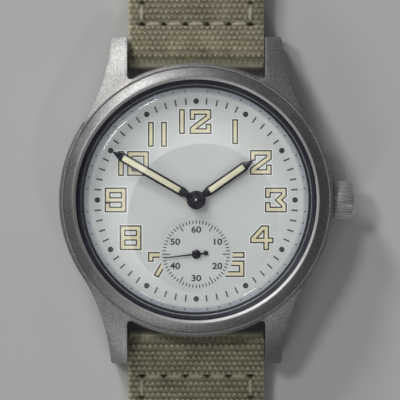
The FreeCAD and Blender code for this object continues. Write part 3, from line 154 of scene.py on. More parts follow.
def grey(value, warm=0.0):
    return (value * (1 + warm), value, value * (1 - warm))


def blastedSteel(name, light=0.41, roughness=0.5):
    # bead-blasted steel: a fine even grain, with faint handling marks
    finish = Finish(name, Metallic=1.0)
    grain = finish.noise(5200, 2)
    cloud = finish.noise(160, 4)
    tone = finish.maths("ADD", finish.maths("MULTIPLY", grain, 0.8), finish.maths("MULTIPLY", cloud, 0.2))
    finish.link(finish.colours(tone, (0.34, grey(light * 0.66, 0.004)), (0.66, grey(light * 1.3, 0.012))),
                "Base Color")
    finish.link(finish.spread(cloud, roughness - 0.04, roughness + 0.05), "Roughness")
    finish.bump(grain, 0.00002, 0.6)
    return finish.material


def polishedSteel(name, light=0.62, roughness=0.16):
    # turned and polished steel with fine hairlines
    finish = Finish(name, Metallic=1.0)
    streak = finish.add("ShaderNodeMapping", {"Vector": finish.place(), "Scale": (600, 9000, 9000)})
    hair = finish.noise(1.0, 2, streak.outputs["Vector"])
    smear = finish.noise(300, 3)
    finish.link(finish.colours(smear, (0.3, grey(light * 0.9)), (0.7, grey(light * 1.05, 0.01))),
                "Base Color")
    finish.link(finish.spread(hair, roughness - 0.05, roughness + 0.08), "Roughness")
    finish.bump(hair, 0.000003, 0.4)
    return finish.material


def plateGilding(name, low, high, roughness=0.26):
    # grained plating on movement parts
    finish = Finish(name, Metallic=1.0)
    grain = finish.noise(5000, 3)
    cloud = finish.noise(350, 3)
    finish.link(finish.colours(cloud, (0.3, low), (0.7, high)), "Base Color")
    finish.link(finish.spread(grain, roughness - 0.06, roughness + 0.1), "Roughness")
    finish.bump(grain, 0.000006, 0.5)
    return finish.material


def stripedPlate(name):
    # nickel plating with broad ruled stripes across the bridges
    finish = Finish(name, Metallic=1.0)
    wave = finish.add("ShaderNodeTexWave", {"Vector": finish.place(), "Scale": 125.0, "Distortion": 0.4,
                                            "Detail": 1.0}, wave_type="BANDS", bands_direction="DIAGONAL")
    grain = finish.noise(6000, 2)
    finish.link(finish.colours(wave.outputs["Fac"], (0.2, grey(0.5, 0.03)), (0.8, grey(0.66, 0.03))),
                "Base Color")
    finish.link(finish.spread(wave.outputs["Fac"], 0.2, 0.36, 0, 1), "Roughness")
    finish.bump(grain, 0.000004, 0.5)
    return finish.material


def handPaint(name):
    # black enamel on the hands, smooth with a faint orange peel
    finish = Finish(name, Specular_IOR_Level=0.5)
    peel = finish.noise(2600, 2)
    finish.link(finish.colours(peel, (0.3, (0.007, 0.007, 0.012)), (0.7, (0.014, 0.014, 0.022))),
                "Base Color")
    finish.link(finish.spread(peel, 0.24, 0.36), "Roughness")
    finish.bump(peel, 0.000006, 0.4)
    return finish.material


def creamLume(name, deep=(0.57, 0.53, 0.33), pale=(0.72, 0.69, 0.49)):
    # grainy aged luminous paint
    finish = Finish(name)
    grain = finish.noise(6500, 4, roughness=0.7)
    patch = finish.noise(900, 3)
    tone = finish.maths("ADD", finish.maths("MULTIPLY", grain, 0.5), finish.maths("MULTIPLY", patch, 0.5))
    finish.link(finish.colours(tone, (0.34, deep), (0.66, pale)), "Base Color")
    finish.link(finish.spread(grain, 0.6, 0.8), "Roughness")
    finish.bump(grain, 0.00002, 0.6)
    return finish.material


def dialLacquer(name):
    # silver-white lacquer, very fine grained and softly clouded
    finish = Finish(name, Metallic=0.12)
    where = finish.place()
    grain = finish.noise(12000, 2, where)
    cloud = finish.noise(120, 3, where)
    tone = finish.maths("ADD", finish.maths("MULTIPLY", grain, 0.5), finish.maths("MULTIPLY", cloud, 0.5))
    finish.link(finish.colours(tone, (0.3, (0.51, 0.53, 0.52)), (0.7, (0.575, 0.595, 0.585))), "Base Color")
    finish.link(finish.spread(cloud, 0.36, 0.46), "Roughness")
    finish.bump(grain, 0.000004, 0.4)
    return finish.material


def printInk(name, low=(0.012, 0.012, 0.014), high=(0.03, 0.03, 0.034)):
    # matt printing ink
    finish = Finish(name)
    grain = finish.noise(9000, 3)
    finish.link(finish.colours(grain, (0.3, low), (0.7, high)), "Base Color")
    finish.link(finish.spread(grain, 0.5, 0.7), "Roughness")
    return finish.material


def clearAcrylic(name):
    # clear domed acrylic, tinted grey at its turned edge as painted shade that darkens the dial seen through the
    # slope; it lets light straight through on shadow rays
    finish = Finish(name, Transmission_Weight=1.0, IOR=1.49)
    flat = finish.add("ShaderNodeMapping", {"Vector": finish.place(), "Scale": (1, 1, 0)}).outputs["Vector"]
    reach = finish.add("ShaderNodeVectorMath", {0: flat}, operation="LENGTH").outputs["Value"]
    # painted shade: the grey tint outside 13.9 mm darkens what is seen through the crystal's slope
    finish.link(finish.colours(finish.spread(reach, 0, 1, 0.0139, 0.0142), (0, (0.985, 0.99, 0.99)),
                               (1, (0.53, 0.55, 0.61))), "Base Color")
    smear = finish.noise(260, 3)
    finish.link(finish.spread(smear, 0.0, 0.012), "Roughness")
    clear = finish.add("ShaderNodeBsdfTransparent")
    light = finish.add("ShaderNodeLightPath")
    mix = finish.add("ShaderNodeMixShader", {0: light.outputs["Is Shadow Ray"]})
    finish.tree.links.new(finish.shader.outputs[0], mix.inputs[1])
    finish.tree.links.new(clear.outputs[0], mix.inputs[2])
    finish.tree.links.new(mix.outputs[0], finish.output.inputs["Surface"])
    return finish.material


def sealRubber(name):
    # dull dark rubber
    finish = Finish(name)
    grain = finish.noise(4000, 3)
    finish.link(finish.colours(grain, (0.3, (0.02, 0.02, 0.024)), (0.7, (0.045, 0.046, 0.056))), "Base Color")
    finish.link(finish.spread(grain, 0.4, 0.6), "Roughness")
    finish.bump(grain, 0.00001, 0.5)
    return finish.material


def rubyJewel(name):
    # clear red synthetic ruby
    finish = Finish(name, IOR=1.76, Coat_Weight=0.5)
    cloud = finish.noise(1500, 2)
    finish.link(finish.colours(cloud, (0.3, (0.30, 0.006, 0.03)), (0.7, (0.55, 0.02, 0.08))), "Base Color")
    finish.link(finish.spread(cloud, 0.08, 0.16), "Roughness")
    return finish.material


def canvasCloth(name, dark=(0.075, 0.064, 0.038), body=(0.375, 0.343, 0.23), pale=(0.86, 0.82, 0.63)):
    # khaki cotton: a vertex attribute carries painted shade that follows the coarse weave, lighter on rib and
    # yarn tops and darker in their hollows, along with random tone and the pale fold; the map counts yarns
    # across and ribs along
    finish = Finish(name, Sheen_Weight=0.2, Sheen_Roughness=0.5, Specular_IOR_Level=0.2)
    weaveShadeAndWear = finish.add("ShaderNodeAttribute", attribute_name="weaveShadeAndWear").outputs["Fac"]
    count = finish.add("ShaderNodeSeparateXYZ", {0: finish.place("UV")}).outputs
    wobble = finish.maths("MULTIPLY", finish.maths("SUBTRACT", finish.noise(1400, 2), 0.5), 0.5)
    ribs = finish.maths("ADD", count[1], wobble)
    ribPart = finish.maths("FRACT", ribs)
    yarns = finish.maths("ADD", count[0], finish.maths("MULTIPLY", finish.maths("FLOOR", ribs), 0.5))
    side = finish.maths("ABSOLUTE", finish.maths("SUBTRACT", finish.maths("FRACT", yarns), 0.5))
    # each yarn gets a small pale roof shape, a painted highlight, with painted shade in the gaps between its
    # neighbours
    roof = finish.maths("ADD", ribPart, finish.maths("MULTIPLY", side, 1.1))
    ridgeHighlight = finish.maths("SUBTRACT", 1.0, finish.maths("MULTIPLY", finish.maths(
        "ABSOLUTE", finish.maths("SUBTRACT", roof, 0.8)), 4.0), clamp=True)
    cap = finish.maths("SUBTRACT", 1.0, finish.maths("MULTIPLY", side, 3.0), clamp=True)
    ridgeHighlight = finish.maths("MULTIPLY", ridgeHighlight, finish.maths("MULTIPLY", cap, finish.spread(
        finish.noise(2600, 2), 0.4, 1.5)))
    gap = finish.maths("MULTIPLY", finish.maths("SUBTRACT", side, 0.36), 7.0, clamp=True)
    fibres = finish.noise(9000, 4, roughness=0.7)
    patch = finish.noise(420, 3)
    fluff = finish.maths("MULTIPLY", finish.maths("SUBTRACT", fibres, 0.5), 0.8)
    shade = finish.maths("MULTIPLY", finish.maths("SUBTRACT", patch, 0.5), 0.45)
    detail = finish.maths("SUBTRACT", finish.maths("MULTIPLY", ridgeHighlight, 0.75),
                          finish.maths("MULTIPLY", gap, 0.2))
    tone = finish.maths("ADD", finish.maths("ADD", weaveShadeAndWear, detail), finish.maths("ADD", fluff, shade))
    finish.link(finish.colours(tone, (0.0, dark), (0.45, body), (1.0, pale)), "Base Color")
    finish.link(finish.spread(fibres, 0.8, 0.95), "Roughness")
    finish.bump(finish.maths("ADD", fibres, finish.maths("MULTIPLY", detail, 1.2)), 0.00008, 0.8)
    return finish.material


def threadCotton(name):
    # pale sewing cotton
    finish = Finish(name, Sheen_Weight=0.3, Specular_IOR_Level=0.25)
    fibres = finish.noise(12000, 3)
    finish.link(finish.colours(fibres, (0.3, (0.36, 0.33, 0.22)), (0.7, (0.78, 0.74, 0.58))), "Base Color")
    finish.link(finish.spread(fibres, 0.7, 0.9), "Roughness")
    finish.bump(fibres, 0.00003, 0.7)
    return finish.material


def paleFloor(name):
    finish = Finish(name, Specular_IOR_Level=0.2)
    cloud = finish.noise(9, 3)
    finish.link(finish.colours(cloud, (0.3, grey(0.72)), (0.7, grey(0.75))), "Base Color")
    finish.link(finish.spread(cloud, 0.7, 0.8), "Roughness")
    return finish.material


materials = {
    "case": blastedSteel("blastedCaseSteel"),
    "bezel": blastedSteel("blastedBezelSteel", 0.40, 0.48),
    "crownSteel": polishedSteel("crownSteel", 0.6, 0.36),
    "edgeSteel": polishedSteel("brightEdge", 0.62, 0.55),
    "steel": polishedSteel("polishedSteel"),
    "screw": polishedSteel("screwSteel", 0.5, 0.2),
    "blued": plateGilding("bluedSpring", (0.02, 0.03, 0.12), (0.05, 0.07, 0.25), 0.2),
    "brass": plateGilding("giltBrass", (0.62, 0.42, 0.14), (0.76, 0.55, 0.22)),
    "plate": stripedPlate("stripedPlate"),
    "enamel": handPaint("handEnamel"),
    "lume": creamLume("creamLume"),
    "handLume": creamLume("handLume", (0.56, 0.54, 0.38), (0.70, 0.68, 0.52)),
    "lacquer": dialLacquer("dialLacquer"),
    "ink": printInk("blackInk"),
    "halo": printInk("whiteInk", (0.68, 0.71, 0.69), (0.74, 0.77, 0.75)),
    "acrylic": clearAcrylic("clearAcrylic"),
    "rubber": sealRubber("sealRubber"),
    "ruby": rubyJewel("rubyJewel"),
    "canvas": canvasCloth("khakiCanvas"),
    "thread": threadCotton("stitchThread"),
}

nodeFinishes = {
    "steel": ["crown_tube", "winding_stem", "buckle_bar", "spring_bar_tube_12", "spring_bar_tube_6",
              "spring_bar_pin_12_left", "spring_bar_pin_12_right", "spring_bar_pin_6_left",
              "spring_bar_pin_6_right", "buckle_frame", "buckle_tongue"],
    "screw": ["bridge_screws", "casing_screws", "ratchet_screw", "click", "click_spring", "setting_lever",
              "yoke", "clutch", "winding_pinion", "crown_wheel", "ratchet_wheel", "setting_wheel",
              "barrel_arbor", "pallet_fork", "regulator", "cannon_pinion"],
    "brass": ["barrel_drum", "barrel_cover", "centre_wheel", "third_wheel", "fourth_wheel", "escape_wheel",
              "minute_wheel", "hour_wheel", "balance"],
    "plate": ["mainplate", "barrel_bridge", "train_bridge", "balance_cock", "pallet_bridge"],
    "blued": ["hairspring", "mainspring"],
    "ruby": ["jewels"],
    "rubber": ["crystal_gasket", "case_back_gasket", "crown_gasket"],
    "lacquer": ["dial"],
    "case": ["case_middle", "case_back"],
    "bezel": ["bezel"],
    "crownSteel": ["crown"],
    "enamel": ["hour_hand", "minute_hand", "seconds_hand"],
    "acrylic": ["crystal"],
    "canvas": ["strap_buckle_side", "strap_hole_side", "fixed_keeper", "sliding_keeper"],
}
for finishName, members in nodeFinishes.items():
    for member in members:
        slots = nodes[member].data.materials
        slots.clear()
        slots.append(materials[finishName])
print("materials made:", len(materials))


# rigid pieces: body, slot, finish, edge width in millimetres and segments
softEdges = {
    "case_middle": ("case", "case_steel", "case", 0.07, 3),
    "bezel": ("case", "case_steel", "bezel", 0.035, 2),
    "case_back": ("case", "case_steel", "case", 0.12, 2),
    "crown": ("crown_and_stem", "case_steel", "crownSteel", 0.035, 2),
    "buckle_frame": ("buckle", "polished_steel", "steel", 0.35, 4),
    "buckle_tongue": ("tongue", "polished_steel", "steel", 0.2, 3),
    "hour_hand": ("hour", "black_hand", "enamel", 0.03, 2),
    "minute_hand": ("centre", "black_hand", "enamel", 0.03, 2),
    "seconds_hand": ("fourth", "black_hand", "enamel", 0.02, 2),
}
edgeRules = {"merge": 0.000002, "flat": 0.6, "sharp": 28}    # metres, then two angles in degrees


def softened(node, body, slotName, finishName, width, segments):
    # a merged copy of a piece, with its sharp edges broken as on the real one
    shape = bmesh.new()
    shape.from_mesh(nodes[node].data)
    bmesh.ops.remove_doubles(shape, verts=shape.verts, dist=edgeRules["merge"])
    bmesh.ops.dissolve_limit(shape, angle_limit=math.radians(edgeRules["flat"]), verts=shape.verts,
                             edges=shape.edges)
    bmesh.ops.recalc_face_normals(shape, faces=shape.faces)
    piece = meshObject(node + "_body", shape, materials[finishName])
    edge = piece.modifiers.new("softEdge", "BEVEL")
    edge.width = width * mm
    edge.segments = segments
    edge.limit_method = "ANGLE"
    edge.angle_limit = math.radians(edgeRules["sharp"])
    edge.harden_normals = True
    finishPiece(piece, body, slotName, node)


for nodeName, settings in softEdges.items():
    softened(nodeName, *settings)
print("softened pieces:", len(softEdges))


# the domed crystal, in millimetres; its slope runs from the dome's edge down to the wall
crystal = {"radius": 15.8, "base": 7.6, "top": 11.5, "wall": 1.2, "insideTop": 10.35, "slopeStart": 14.13,
           "slopeEnd": 8.24, "corner": 0.38, "insideCorner": 0.3, "domeRadius": 78.0, "steps": 180}


def domeHeight(radius, top):
    # how high a dome with the given top stands at a radius
    return top - crystal["domeRadius"] + math.sqrt(crystal["domeRadius"] ** 2 - radius ** 2)


def roundedLine(points, radius, steps=6):
    # a line of points whose inner corners are rounded off by short curves
    line = [points[0]]
    for before, corner, after in zip(points, points[1:], points[2:]):
        here = Vector(corner)
        back, ahead = (Vector(before) - here), (Vector(after) - here)
        start = here + back.normalized() * min(radius, back.length / 2)
        end = here + ahead.normalized() * min(radius, ahead.length / 2)
        for step in range(steps + 1):
            part = step / steps
            line.append(tuple((1 - part) ** 2 * start + 2 * part * (1 - part) * here + part ** 2 * end))
    return line + [points[-1]]


def domeLine(edgeRadius, top, steps=28):
    # over the shallow dome from its edge to the middle
    return [(edgeRadius * (1 - step / steps), domeHeight(edgeRadius * (1 - step / steps), top))
            for step in range(1, steps + 1)]


def turnedShape(profile, steps, closed=False):
    # spins an open or closed profile of (radius, height) points about the watch's middle, in millimetres
    shape = bmesh.new()
    corners = [shape.verts.new((x * mm, 0, z * mm)) for x, z in profile]
    edges = [shape.edges.new(pair) for pair in zip(corners, corners[1:])]
    if closed:
        edges.append(shape.edges.new((corners[-1], corners[0])))
    bmesh.ops.spin(shape, geom=corners + edges, cent=(0, 0, 0), axis=(0, 0, 1), angle=fullTurn, steps=steps,
                   use_merge=True)
    bmesh.ops.remove_doubles(shape, verts=shape.verts, dist=0.0000005)
    bmesh.ops.recalc_face_normals(shape, faces=shape.faces)
    return shape


slopeTop = domeHeight(crystal["slopeStart"], crystal["top"])
outsideProfile = roundedLine([(crystal["radius"], crystal["base"]), (crystal["radius"], crystal["slopeEnd"]),
                              (crystal["slopeStart"], slopeTop),
                              (crystal["slopeStart"] - 1,
                               domeHeight(crystal["slopeStart"] - 1, crystal["top"]))],
                             crystal["corner"])
outsideProfile += domeLine(crystal["slopeStart"] - 1, crystal["top"])
insideRadius = crystal["radius"] - crystal["wall"]
insideProfile = roundedLine([(insideRadius, crystal["base"]),
                             (insideRadius, domeHeight(insideRadius, crystal["insideTop"])),
                             (insideRadius - 1, domeHeight(insideRadius - 1, crystal["insideTop"]))],
                            crystal["insideCorner"])
insideProfile += domeLine(insideRadius - 1, crystal["insideTop"])
crystalShape = turnedShape(outsideProfile[::-1] + insideProfile, crystal["steps"])
finishPiece(meshObject("domed_crystal", crystalShape, materials["acrylic"]), "case", "crystal", "crystal")

# a thin dark seal ring between the crystal's wall and the bezel, like a crystal gasket; its dark colour is
# painted shade that darkens the band round the crystal's edge
sleeve = {"inner": 15.815, "outer": 15.84, "bottom": 7.62, "top": 8.7, "steps": 160}
sleeveProfile = [(sleeve["inner"], sleeve["bottom"]), (sleeve["outer"], sleeve["bottom"]),
                 (sleeve["outer"], sleeve["top"]), (sleeve["inner"], sleeve["top"])]
sleeveShape = turnedShape(sleeveProfile, sleeve["steps"], closed=True)
finishPiece(meshObject("crystal_shade_sleeve", sleeveShape, materials["rubber"]), "case", "seal_rubber")
print("crystal spun")


# the polished inner edge of the bezel
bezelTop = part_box("bezel")[1].z / mm
bezelEdge = {"bore": 15.85, "polish": 0.16, "lift": 0.012, "depth": 0.5, "buried": 0.02, "wall": 0.05,
             "steps": 180}
edgeProfile = [(bezelEdge["bore"] - bezelEdge["lift"], bezelTop - bezelEdge["polish"] - bezelEdge["depth"]),
               (bezelEdge["bore"] - bezelEdge["lift"], bezelTop - bezelEdge["polish"]),
               (bezelEdge["bore"] + 2 * bezelEdge["polish"], bezelTop + bezelEdge["lift"]),
               (bezelEdge["bore"] + 2 * bezelEdge["polish"] + bezelEdge["buried"],
                bezelTop - bezelEdge["buried"]),
               (bezelEdge["bore"] + bezelEdge["wall"], bezelTop - bezelEdge["polish"] - bezelEdge["depth"])]
edgeShape = turnedShape(edgeProfile, bezelEdge["steps"], closed=True)
finishPiece(meshObject("bezel_polished_edge", edgeShape, materials["edgeSteel"], smooth=False), "case",
            "polished_steel")

# the dial's printing, in millimetres; the 4 and the 7 have tails that reach below the other figures
dial = {"top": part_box("dial")[1].z / mm, "inkHeight": 0.012, "lumeHeight": 0.05, "haloHeight": 0.006,
        "haloLift": 0.002, "inkLift": 0.004, "lumeLift": 0.006, "trackLift": 0.001,
        "outline": 0.185, "halo": 0.13, "stroke": 0.78, "width": 2.88, "height": 3.28,
        "tailed": "47", "tailShare": 1.16, "tailLift": 0.08, "mitreLeast": 0.35,
        "trackRadius": 12.95, "dotRadius": 0.36, "tickLength": 0.84, "tickWidth": 0.19}
seconds = {"x": 0.0, "y": round(middle("fourth_wheel").y / mm, 2), "radius": 4.43, "short": 0.45, "long": 1.0,
           "width": 0.13, "figureRadius": 3.18, "figureHeight": 0.78, "figureStretch": 1.18, "clear": 4.78,
           "capShare": 0.69, "boldness": 0.03}
inkMiddle = dial["top"] + dial["inkHeight"] / 2 + dial["trackLift"]

# each figure is drawn by strokes along the middle of its lines, in a cell one wide and one high
figureStrokes = {
    "0": [([(0, 0), (1, 0), (1, 1), (0, 1)], True)],
    "1": [([(0.5, 0), (0.5, 1)], False)],
    "2": [([(0, 0.74), (0, 1), (1, 1), (1, 0.74), (0, 0.12), (0, 0), (1, 0), (1, 0.24)], False)],
    "3": [([(0, 0.76), (0, 1), (1, 1), (1, 0.76), (0.66, 0.5), (1, 0.24), (1, 0), (0, 0), (0, 0.24)], False)],
    "4": [([(0.82, -0.16), (0.82, 1), (0.6, 1), (0, 0.36), (0, 0.26), (1.1, 0.26)], False)],
    "5": [([(1, 1), (0, 1), (0, 0.56), (1, 0.56), (1, 0), (0, 0), (0, 0.22)], False)],
    "7": [([(0, 0.76), (0, 1), (1, 1), (1, 0.82), (0.42, -0.16)], False)],
    "8": [([(0, 0), (1, 0), (1, 0.42), (0.88, 0.5), (1, 0.58), (1, 1), (0, 1), (0, 0.58), (0.12, 0.5),
            (0, 0.42)], True), ([(0.12, 0.5), (0.88, 0.5)], False)],
    "9": [([(1, 0.5), (0, 0.5), (0, 1), (1, 1), (1, 0), (0, 0), (0, 0.22)], False)],
}

# which figures stand where on the dial, by their middles, in millimetres
hourFigures = [("1", -1.87, 10.28), ("2", 0.56, 10.28), ("1", 5.1, 8.95), ("2", 8.47, 4.92), ("3", 10.44, 0.0),
               ("4", 8.5, -4.95), ("5", 4.9, -8.45), ("7", -4.9, -8.45), ("8", -8.6, -4.95), ("9", -10.56, 0.0),
               ("1", -9.86, 4.78), ("0", -7.62, 4.78), ("1", -5.94, 8.6), ("1", -4.23, 8.6)]


def strokePlate(shape, points, closed, half, low, high):
    # a flat plate along a line of points, with mitred corners and squared ends
    line = [Vector(point).to_2d() for point in points]
    count = len(line)
    if not closed:
        line[0] = line[0] + (line[0] - line[1]).normalized() * half
        line[-1] = line[-1] + (line[-1] - line[-2]).normalized() * half
    rims = []
    for index, point in enumerate(line):
        before = line[index - 1] if closed or index else None
        after = line[(index + 1) % count] if closed or index < count - 1 else None
        ways = [point - before] if before is not None else []
        ways += [after - point] if after is not None else []
        ways = [way.normalized() for way in ways]
        sides = [Vector((-way.y, way.x)) for way in ways]
        side = sum(sides, Vector((0, 0))).normalized()
        side *= half / max(side.dot(sides[0]), dial["mitreLeast"])
        rims.append((point + side, point - side))
    loops = list(zip(rims, rims[1:] + (rims[:1] if closed else [])))
    for (left, right), (nextLeft, nextRight) in loops:
        corners = [shape.verts.new((spot.x * mm, spot.y * mm, low * mm))
                   for spot in (right, nextRight, nextLeft, left)]
        base = shape.faces.new(corners)
        grown = bmesh.ops.extrude_face_region(shape, geom=[base])
        raised = [item for item in grown["geom"] if isinstance(item, bmesh.types.BMVert)]
        bmesh.ops.translate(shape, verts=raised, vec=(0, 0, (high - low) * mm))


def figurePlates(shape, grow, low, high):
    # every hour figure, its strokes widened or narrowed by the given amount
    for name, x, y in hourFigures:
        wide = 0 if name == "1" else dial["width"] - dial["stroke"]
        tall = dial["height"] - dial["stroke"]
        lift = 0
        if name in dial["tailed"]:
            tall /= dial["tailShare"]
            lift = dial["tailLift"] * tall
        for points, closed in figureStrokes[name]:
            placed = [(x + (px - 0.5) * wide, y + lift + (py - 0.5) * tall) for px, py in points]
            strokePlate(shape, placed, closed, dial["stroke"] / 2 + grow, low, high)


def clearOfSeconds(piece):
    # cuts away what would run into the seconds dial
    shape = bmesh.new()
    bmesh.ops.create_cone(shape, cap_ends=True, segments=96, radius1=seconds["clear"] * mm,
                          radius2=seconds["clear"] * mm, depth=2 * mm)
    bmesh.ops.translate(shape, verts=shape.verts,
                        vec=(seconds["x"] * mm, seconds["y"] * mm, dial["top"] * mm))
    cutter = meshObject("cutter", shape, materials["ink"])
    cut = piece.modifiers.new("cut", "BOOLEAN")
    cut.object = cutter
    cut.operation = "DIFFERENCE"
    cut.use_self = True
    applied(piece)
    bpy.data.objects.remove(cutter)


def dialLayer(name, grow, lift, height, materialName, slotName):
    # one printing of all the hour figures
    shape = bmesh.new()
    low = dial["top"] + lift
    figurePlates(shape, grow, low, low + height)
    bmesh.ops.recalc_face_normals(shape, faces=shape.faces)
    piece = meshObject(name, shape, materials[materialName], smooth=False)
    clearOfSeconds(piece)
    finishPiece(piece, "case", slotName)


dialLayer("figure_halo", dial["halo"], dial["haloLift"], dial["haloHeight"], "halo", "dial_lacquer")
dialLayer("figure_outline", 0, dial["inkLift"], dial["inkHeight"], "ink", "black_hand")
dialLayer("figure_lume", -dial["outline"], dial["lumeLift"], dial["lumeHeight"], "lume", "dial_lacquer")


def bar(shape, width, length, radius, turn, centre=(0.0, 0.0)):
    # one printed line pointing to a centre, its outer end at the given radius
    made = bmesh.ops.create_cube(shape, size=1.0)["verts"]
    bmesh.ops.scale(shape, verts=made, vec=(width * mm, length * mm, dial["inkHeight"] * mm))
    bmesh.ops.translate(shape, verts=made, vec=(0, (radius - length / 2) * mm, 0))
    bmesh.ops.rotate(shape, verts=made, cent=(0, 0, 0), matrix=Matrix.Rotation(turn, 3, "Z"))
    bmesh.ops.translate(shape, verts=made, vec=(centre[0] * mm, centre[1] * mm, inkMiddle * mm))


def dot(shape, radius, reach, turn):
    # one round printed dot, at the given reach from the middle
    made = bmesh.ops.create_cone(shape, cap_ends=True, segments=32, radius1=radius * mm, radius2=radius * mm,
                                 depth=dial["inkHeight"] * mm)["verts"]
    bmesh.ops.translate(shape, verts=made, vec=(-math.sin(turn) * reach * mm, math.cos(turn) * reach * mm,
                                                inkMiddle * mm))


trackShape = bmesh.new()
for minute in range(60):
    turn = fullTurn * minute / 60
    if minute % 5:
        bar(trackShape, dial["tickWidth"], dial["tickLength"], dial["trackRadius"] + dial["tickLength"] / 2,
            turn)
    else:
        dot(trackShape, dial["dotRadius"], dial["trackRadius"], turn)
    longTick = minute % 10 == 5
    bar(trackShape, seconds["width"], seconds["long" if longTick else "short"], seconds["radius"], turn,
        (seconds["x"], seconds["y"]))
finishPiece(meshObject("minute_track", trackShape, materials["ink"], smooth=False), "case", "black_hand")


def printedText(name, text, x, y, height):
    # a small plain figure, made a flat mesh at its place
    curve = bpy.data.curves.new(name, "FONT")
    curve.body = text
    curve.size = height / seconds["capShare"] * mm
    curve.align_x = "CENTER"
    curve.align_y = "CENTER"
    curve.extrude = dial["inkHeight"] / 2 * mm
    curve.offset = seconds["boldness"] * mm
    words = newObject(name, curve)
    bpy.context.view_layer.update()
    mesh = bpy.data.meshes.new_from_object(words.evaluated_get(bpy.context.evaluated_depsgraph_get()))
    bpy.data.objects.remove(words)
    mesh.transform(Matrix.Diagonal((seconds["figureStretch"], 1, 1, 1)))
    mesh.transform(Matrix.Translation((x * mm, y * mm, inkMiddle * mm)))
    mesh.materials.clear()
    mesh.materials.append(materials["ink"])
    finishPiece(newObject(name, mesh), "case", "black_hand")


for step, text in enumerate(("60", "10", "20", "30", "40", "50")):
    turn = fullTurn * step / 6
    printedText("seconds_figure_" + text, text, seconds["x"] + seconds["figureRadius"] * math.sin(turn),
                seconds["y"] + seconds["figureRadius"] * math.cos(turn), seconds["figureHeight"])
print("dial printed")


hands = {
    "hour": {"body": "hour", "node": "hour_hand", "turn": -55.0, "start": 2.15, "end": 7.6},
    "minute": {"body": "centre", "node": "minute_hand", "turn": 60.0, "start": 2.5, "end": 11.05},
}
lumeStrip = {"width": 0.7, "sunk": 0.02, "rise": 0.05, "edge": 0.03}

# turned hubs as (radius, height); the seconds cap's heights are over the top of its hand
hubs = {
    "boss": [(0, 8.13), (0.46, 8.13), (0.54, 8.1), (0.58, 8.04), (0.58, 7.93), (0, 7.93)],
    "pin": [(0, 8.32), (0.12, 8.31), (0.19, 8.27), (0.22, 8.2), (0.22, 8.05), (0, 8.05)],
    "secondsCap": [(0, 0.06), (0.4, 0.06), (0.5, 0.03), (0.52, -0.01), (0, -0.01)],
}

for handName, hand in hands.items():
    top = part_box(hand["node"])[1].z / mm
    shape = bmesh.new()
    half = lumeStrip["width"] / 2
    strokePlate(shape, [(0, hand["start"] + half), (0, hand["end"] - half)], False, half,
                top - lumeStrip["sunk"], top + lumeStrip["rise"])
    rims = [edge for edge in shape.edges if all(vert.co.z > top * mm for vert in edge.verts)]
    bmesh.ops.bevel(shape, geom=rims, offset=lumeStrip["edge"] * mm, offset_type="OFFSET", segments=2,
                    profile=0.5, affect="EDGES", material=-1, clamp_overlap=True)
    bmesh.ops.rotate(shape, verts=shape.verts, cent=(0, 0, 0),
                     matrix=Matrix.Rotation(math.radians(hand["turn"]), 3, "Z"))
    bmesh.ops.recalc_face_normals(shape, faces=shape.faces)
    finishPiece(meshObject(handName + "_hand_lume", shape, materials["handLume"]), hand["body"], "dial_lacquer")

bossShape = turnedShape(hubs["boss"], 48)
finishPiece(meshObject("centre_boss", bossShape, materials["enamel"]), "centre", "black_hand")
pinShape = turnedShape(hubs["pin"], 32)
finishPiece(meshObject("centre_pin", pinShape, materials["steel"]), "centre", "polished_steel")
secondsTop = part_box("seconds_hand")[1].z / mm
capShape = turnedShape([(radius, secondsTop + height) for radius, height in hubs["secondsCap"]], 40)
bmesh.ops.translate(capShape, verts=capShape.verts, vec=(seconds["x"] * mm, seconds["y"] * mm, 0))
finishPiece(meshObject("seconds_cap", capShape, materials["enamel"]), "fourth", "black_hand")
print("hands lumed")


# millimetres for the cloth, then how light or dark each feature of it is
weave = {"rib": 0.75, "yarn": 0.72, "thickness": 1.1, "ribRise": 0.085, "yarnRise": 0.075, "rowsPerRib": 4,
         "sink": 0.14, "uneven": 0.012}
selvedge = {"width": 0.02, "wave": 0.12, "inset": 0.08, "fray": 0.04, "drop": 0.2}
dent = {"stretch": 1.3, "reach": 2, "steepness": 2.2}
# the rib and yarn tones are painted shade, lighter on tops and darker in hollows; the dent tone is painted shade
# in the dents; the fold tone is wear with a painted highlight
clothTone = {"base": 0.2, "rib": 0.17, "yarn": 0.12, "uneven": 0.05, "selvedge": 0.4, "wearAndHighlight": 1.2, "dent": 0.75}


def arcPoints(centre, radius, start, end, steps=14):
    # points round part of a circle, between two angles in degrees
    return [(centre[0] + radius * math.cos(math.radians(start + (end - start) * step / steps)),
             centre[1] + radius * math.sin(math.radians(start + (end - start) * step / steps)))
            for step in range(steps + 1)]


class Route:
    # a line in Y and Z that the cloth's middle follows, read by its length from the start
    def __init__(self, points, closed=False):
        self.points = [Vector(point) for point in points]
        if closed:
            self.points.append(self.points[0].copy())
        self.reach = [0.0]
        for here, there in zip(self.points, self.points[1:]):
            self.reach.append(self.reach[-1] + (there - here).length)
        self.length = self.reach[-1]
        self.closed = closed

    def at(self, distance):
        distance = distance % self.length if self.closed else min(max(distance, 0.0), self.length)
        index = 0
        while index < len(self.reach) - 2 and self.reach[index + 1] < distance:
            index += 1
        part = (distance - self.reach[index]) / (self.reach[index + 1] - self.reach[index])
        return self.points[index].lerp(self.points[index + 1], part)

    def frameAt(self, distance, blur=0.3):
        # the place on the line and the way that is up from it
        way = self.at(distance + blur) - self.at(distance - blur)
        way.normalize()
        return self.at(distance), Vector((-way.y, way.x))


def reliefAt(along, across):
    # the height of a plain weave: ribs across the band, crossed by lengthwise yarns that alternate
    row = along / weave["rib"]
    rib = abs(math.sin(math.pi * row))
    side = across / weave["yarn"] + 0.5 * (math.floor(row) % 2)
    yarn = 0.5 + 0.5 * math.cos(fullTurn * side)
    return rib, yarn * rib


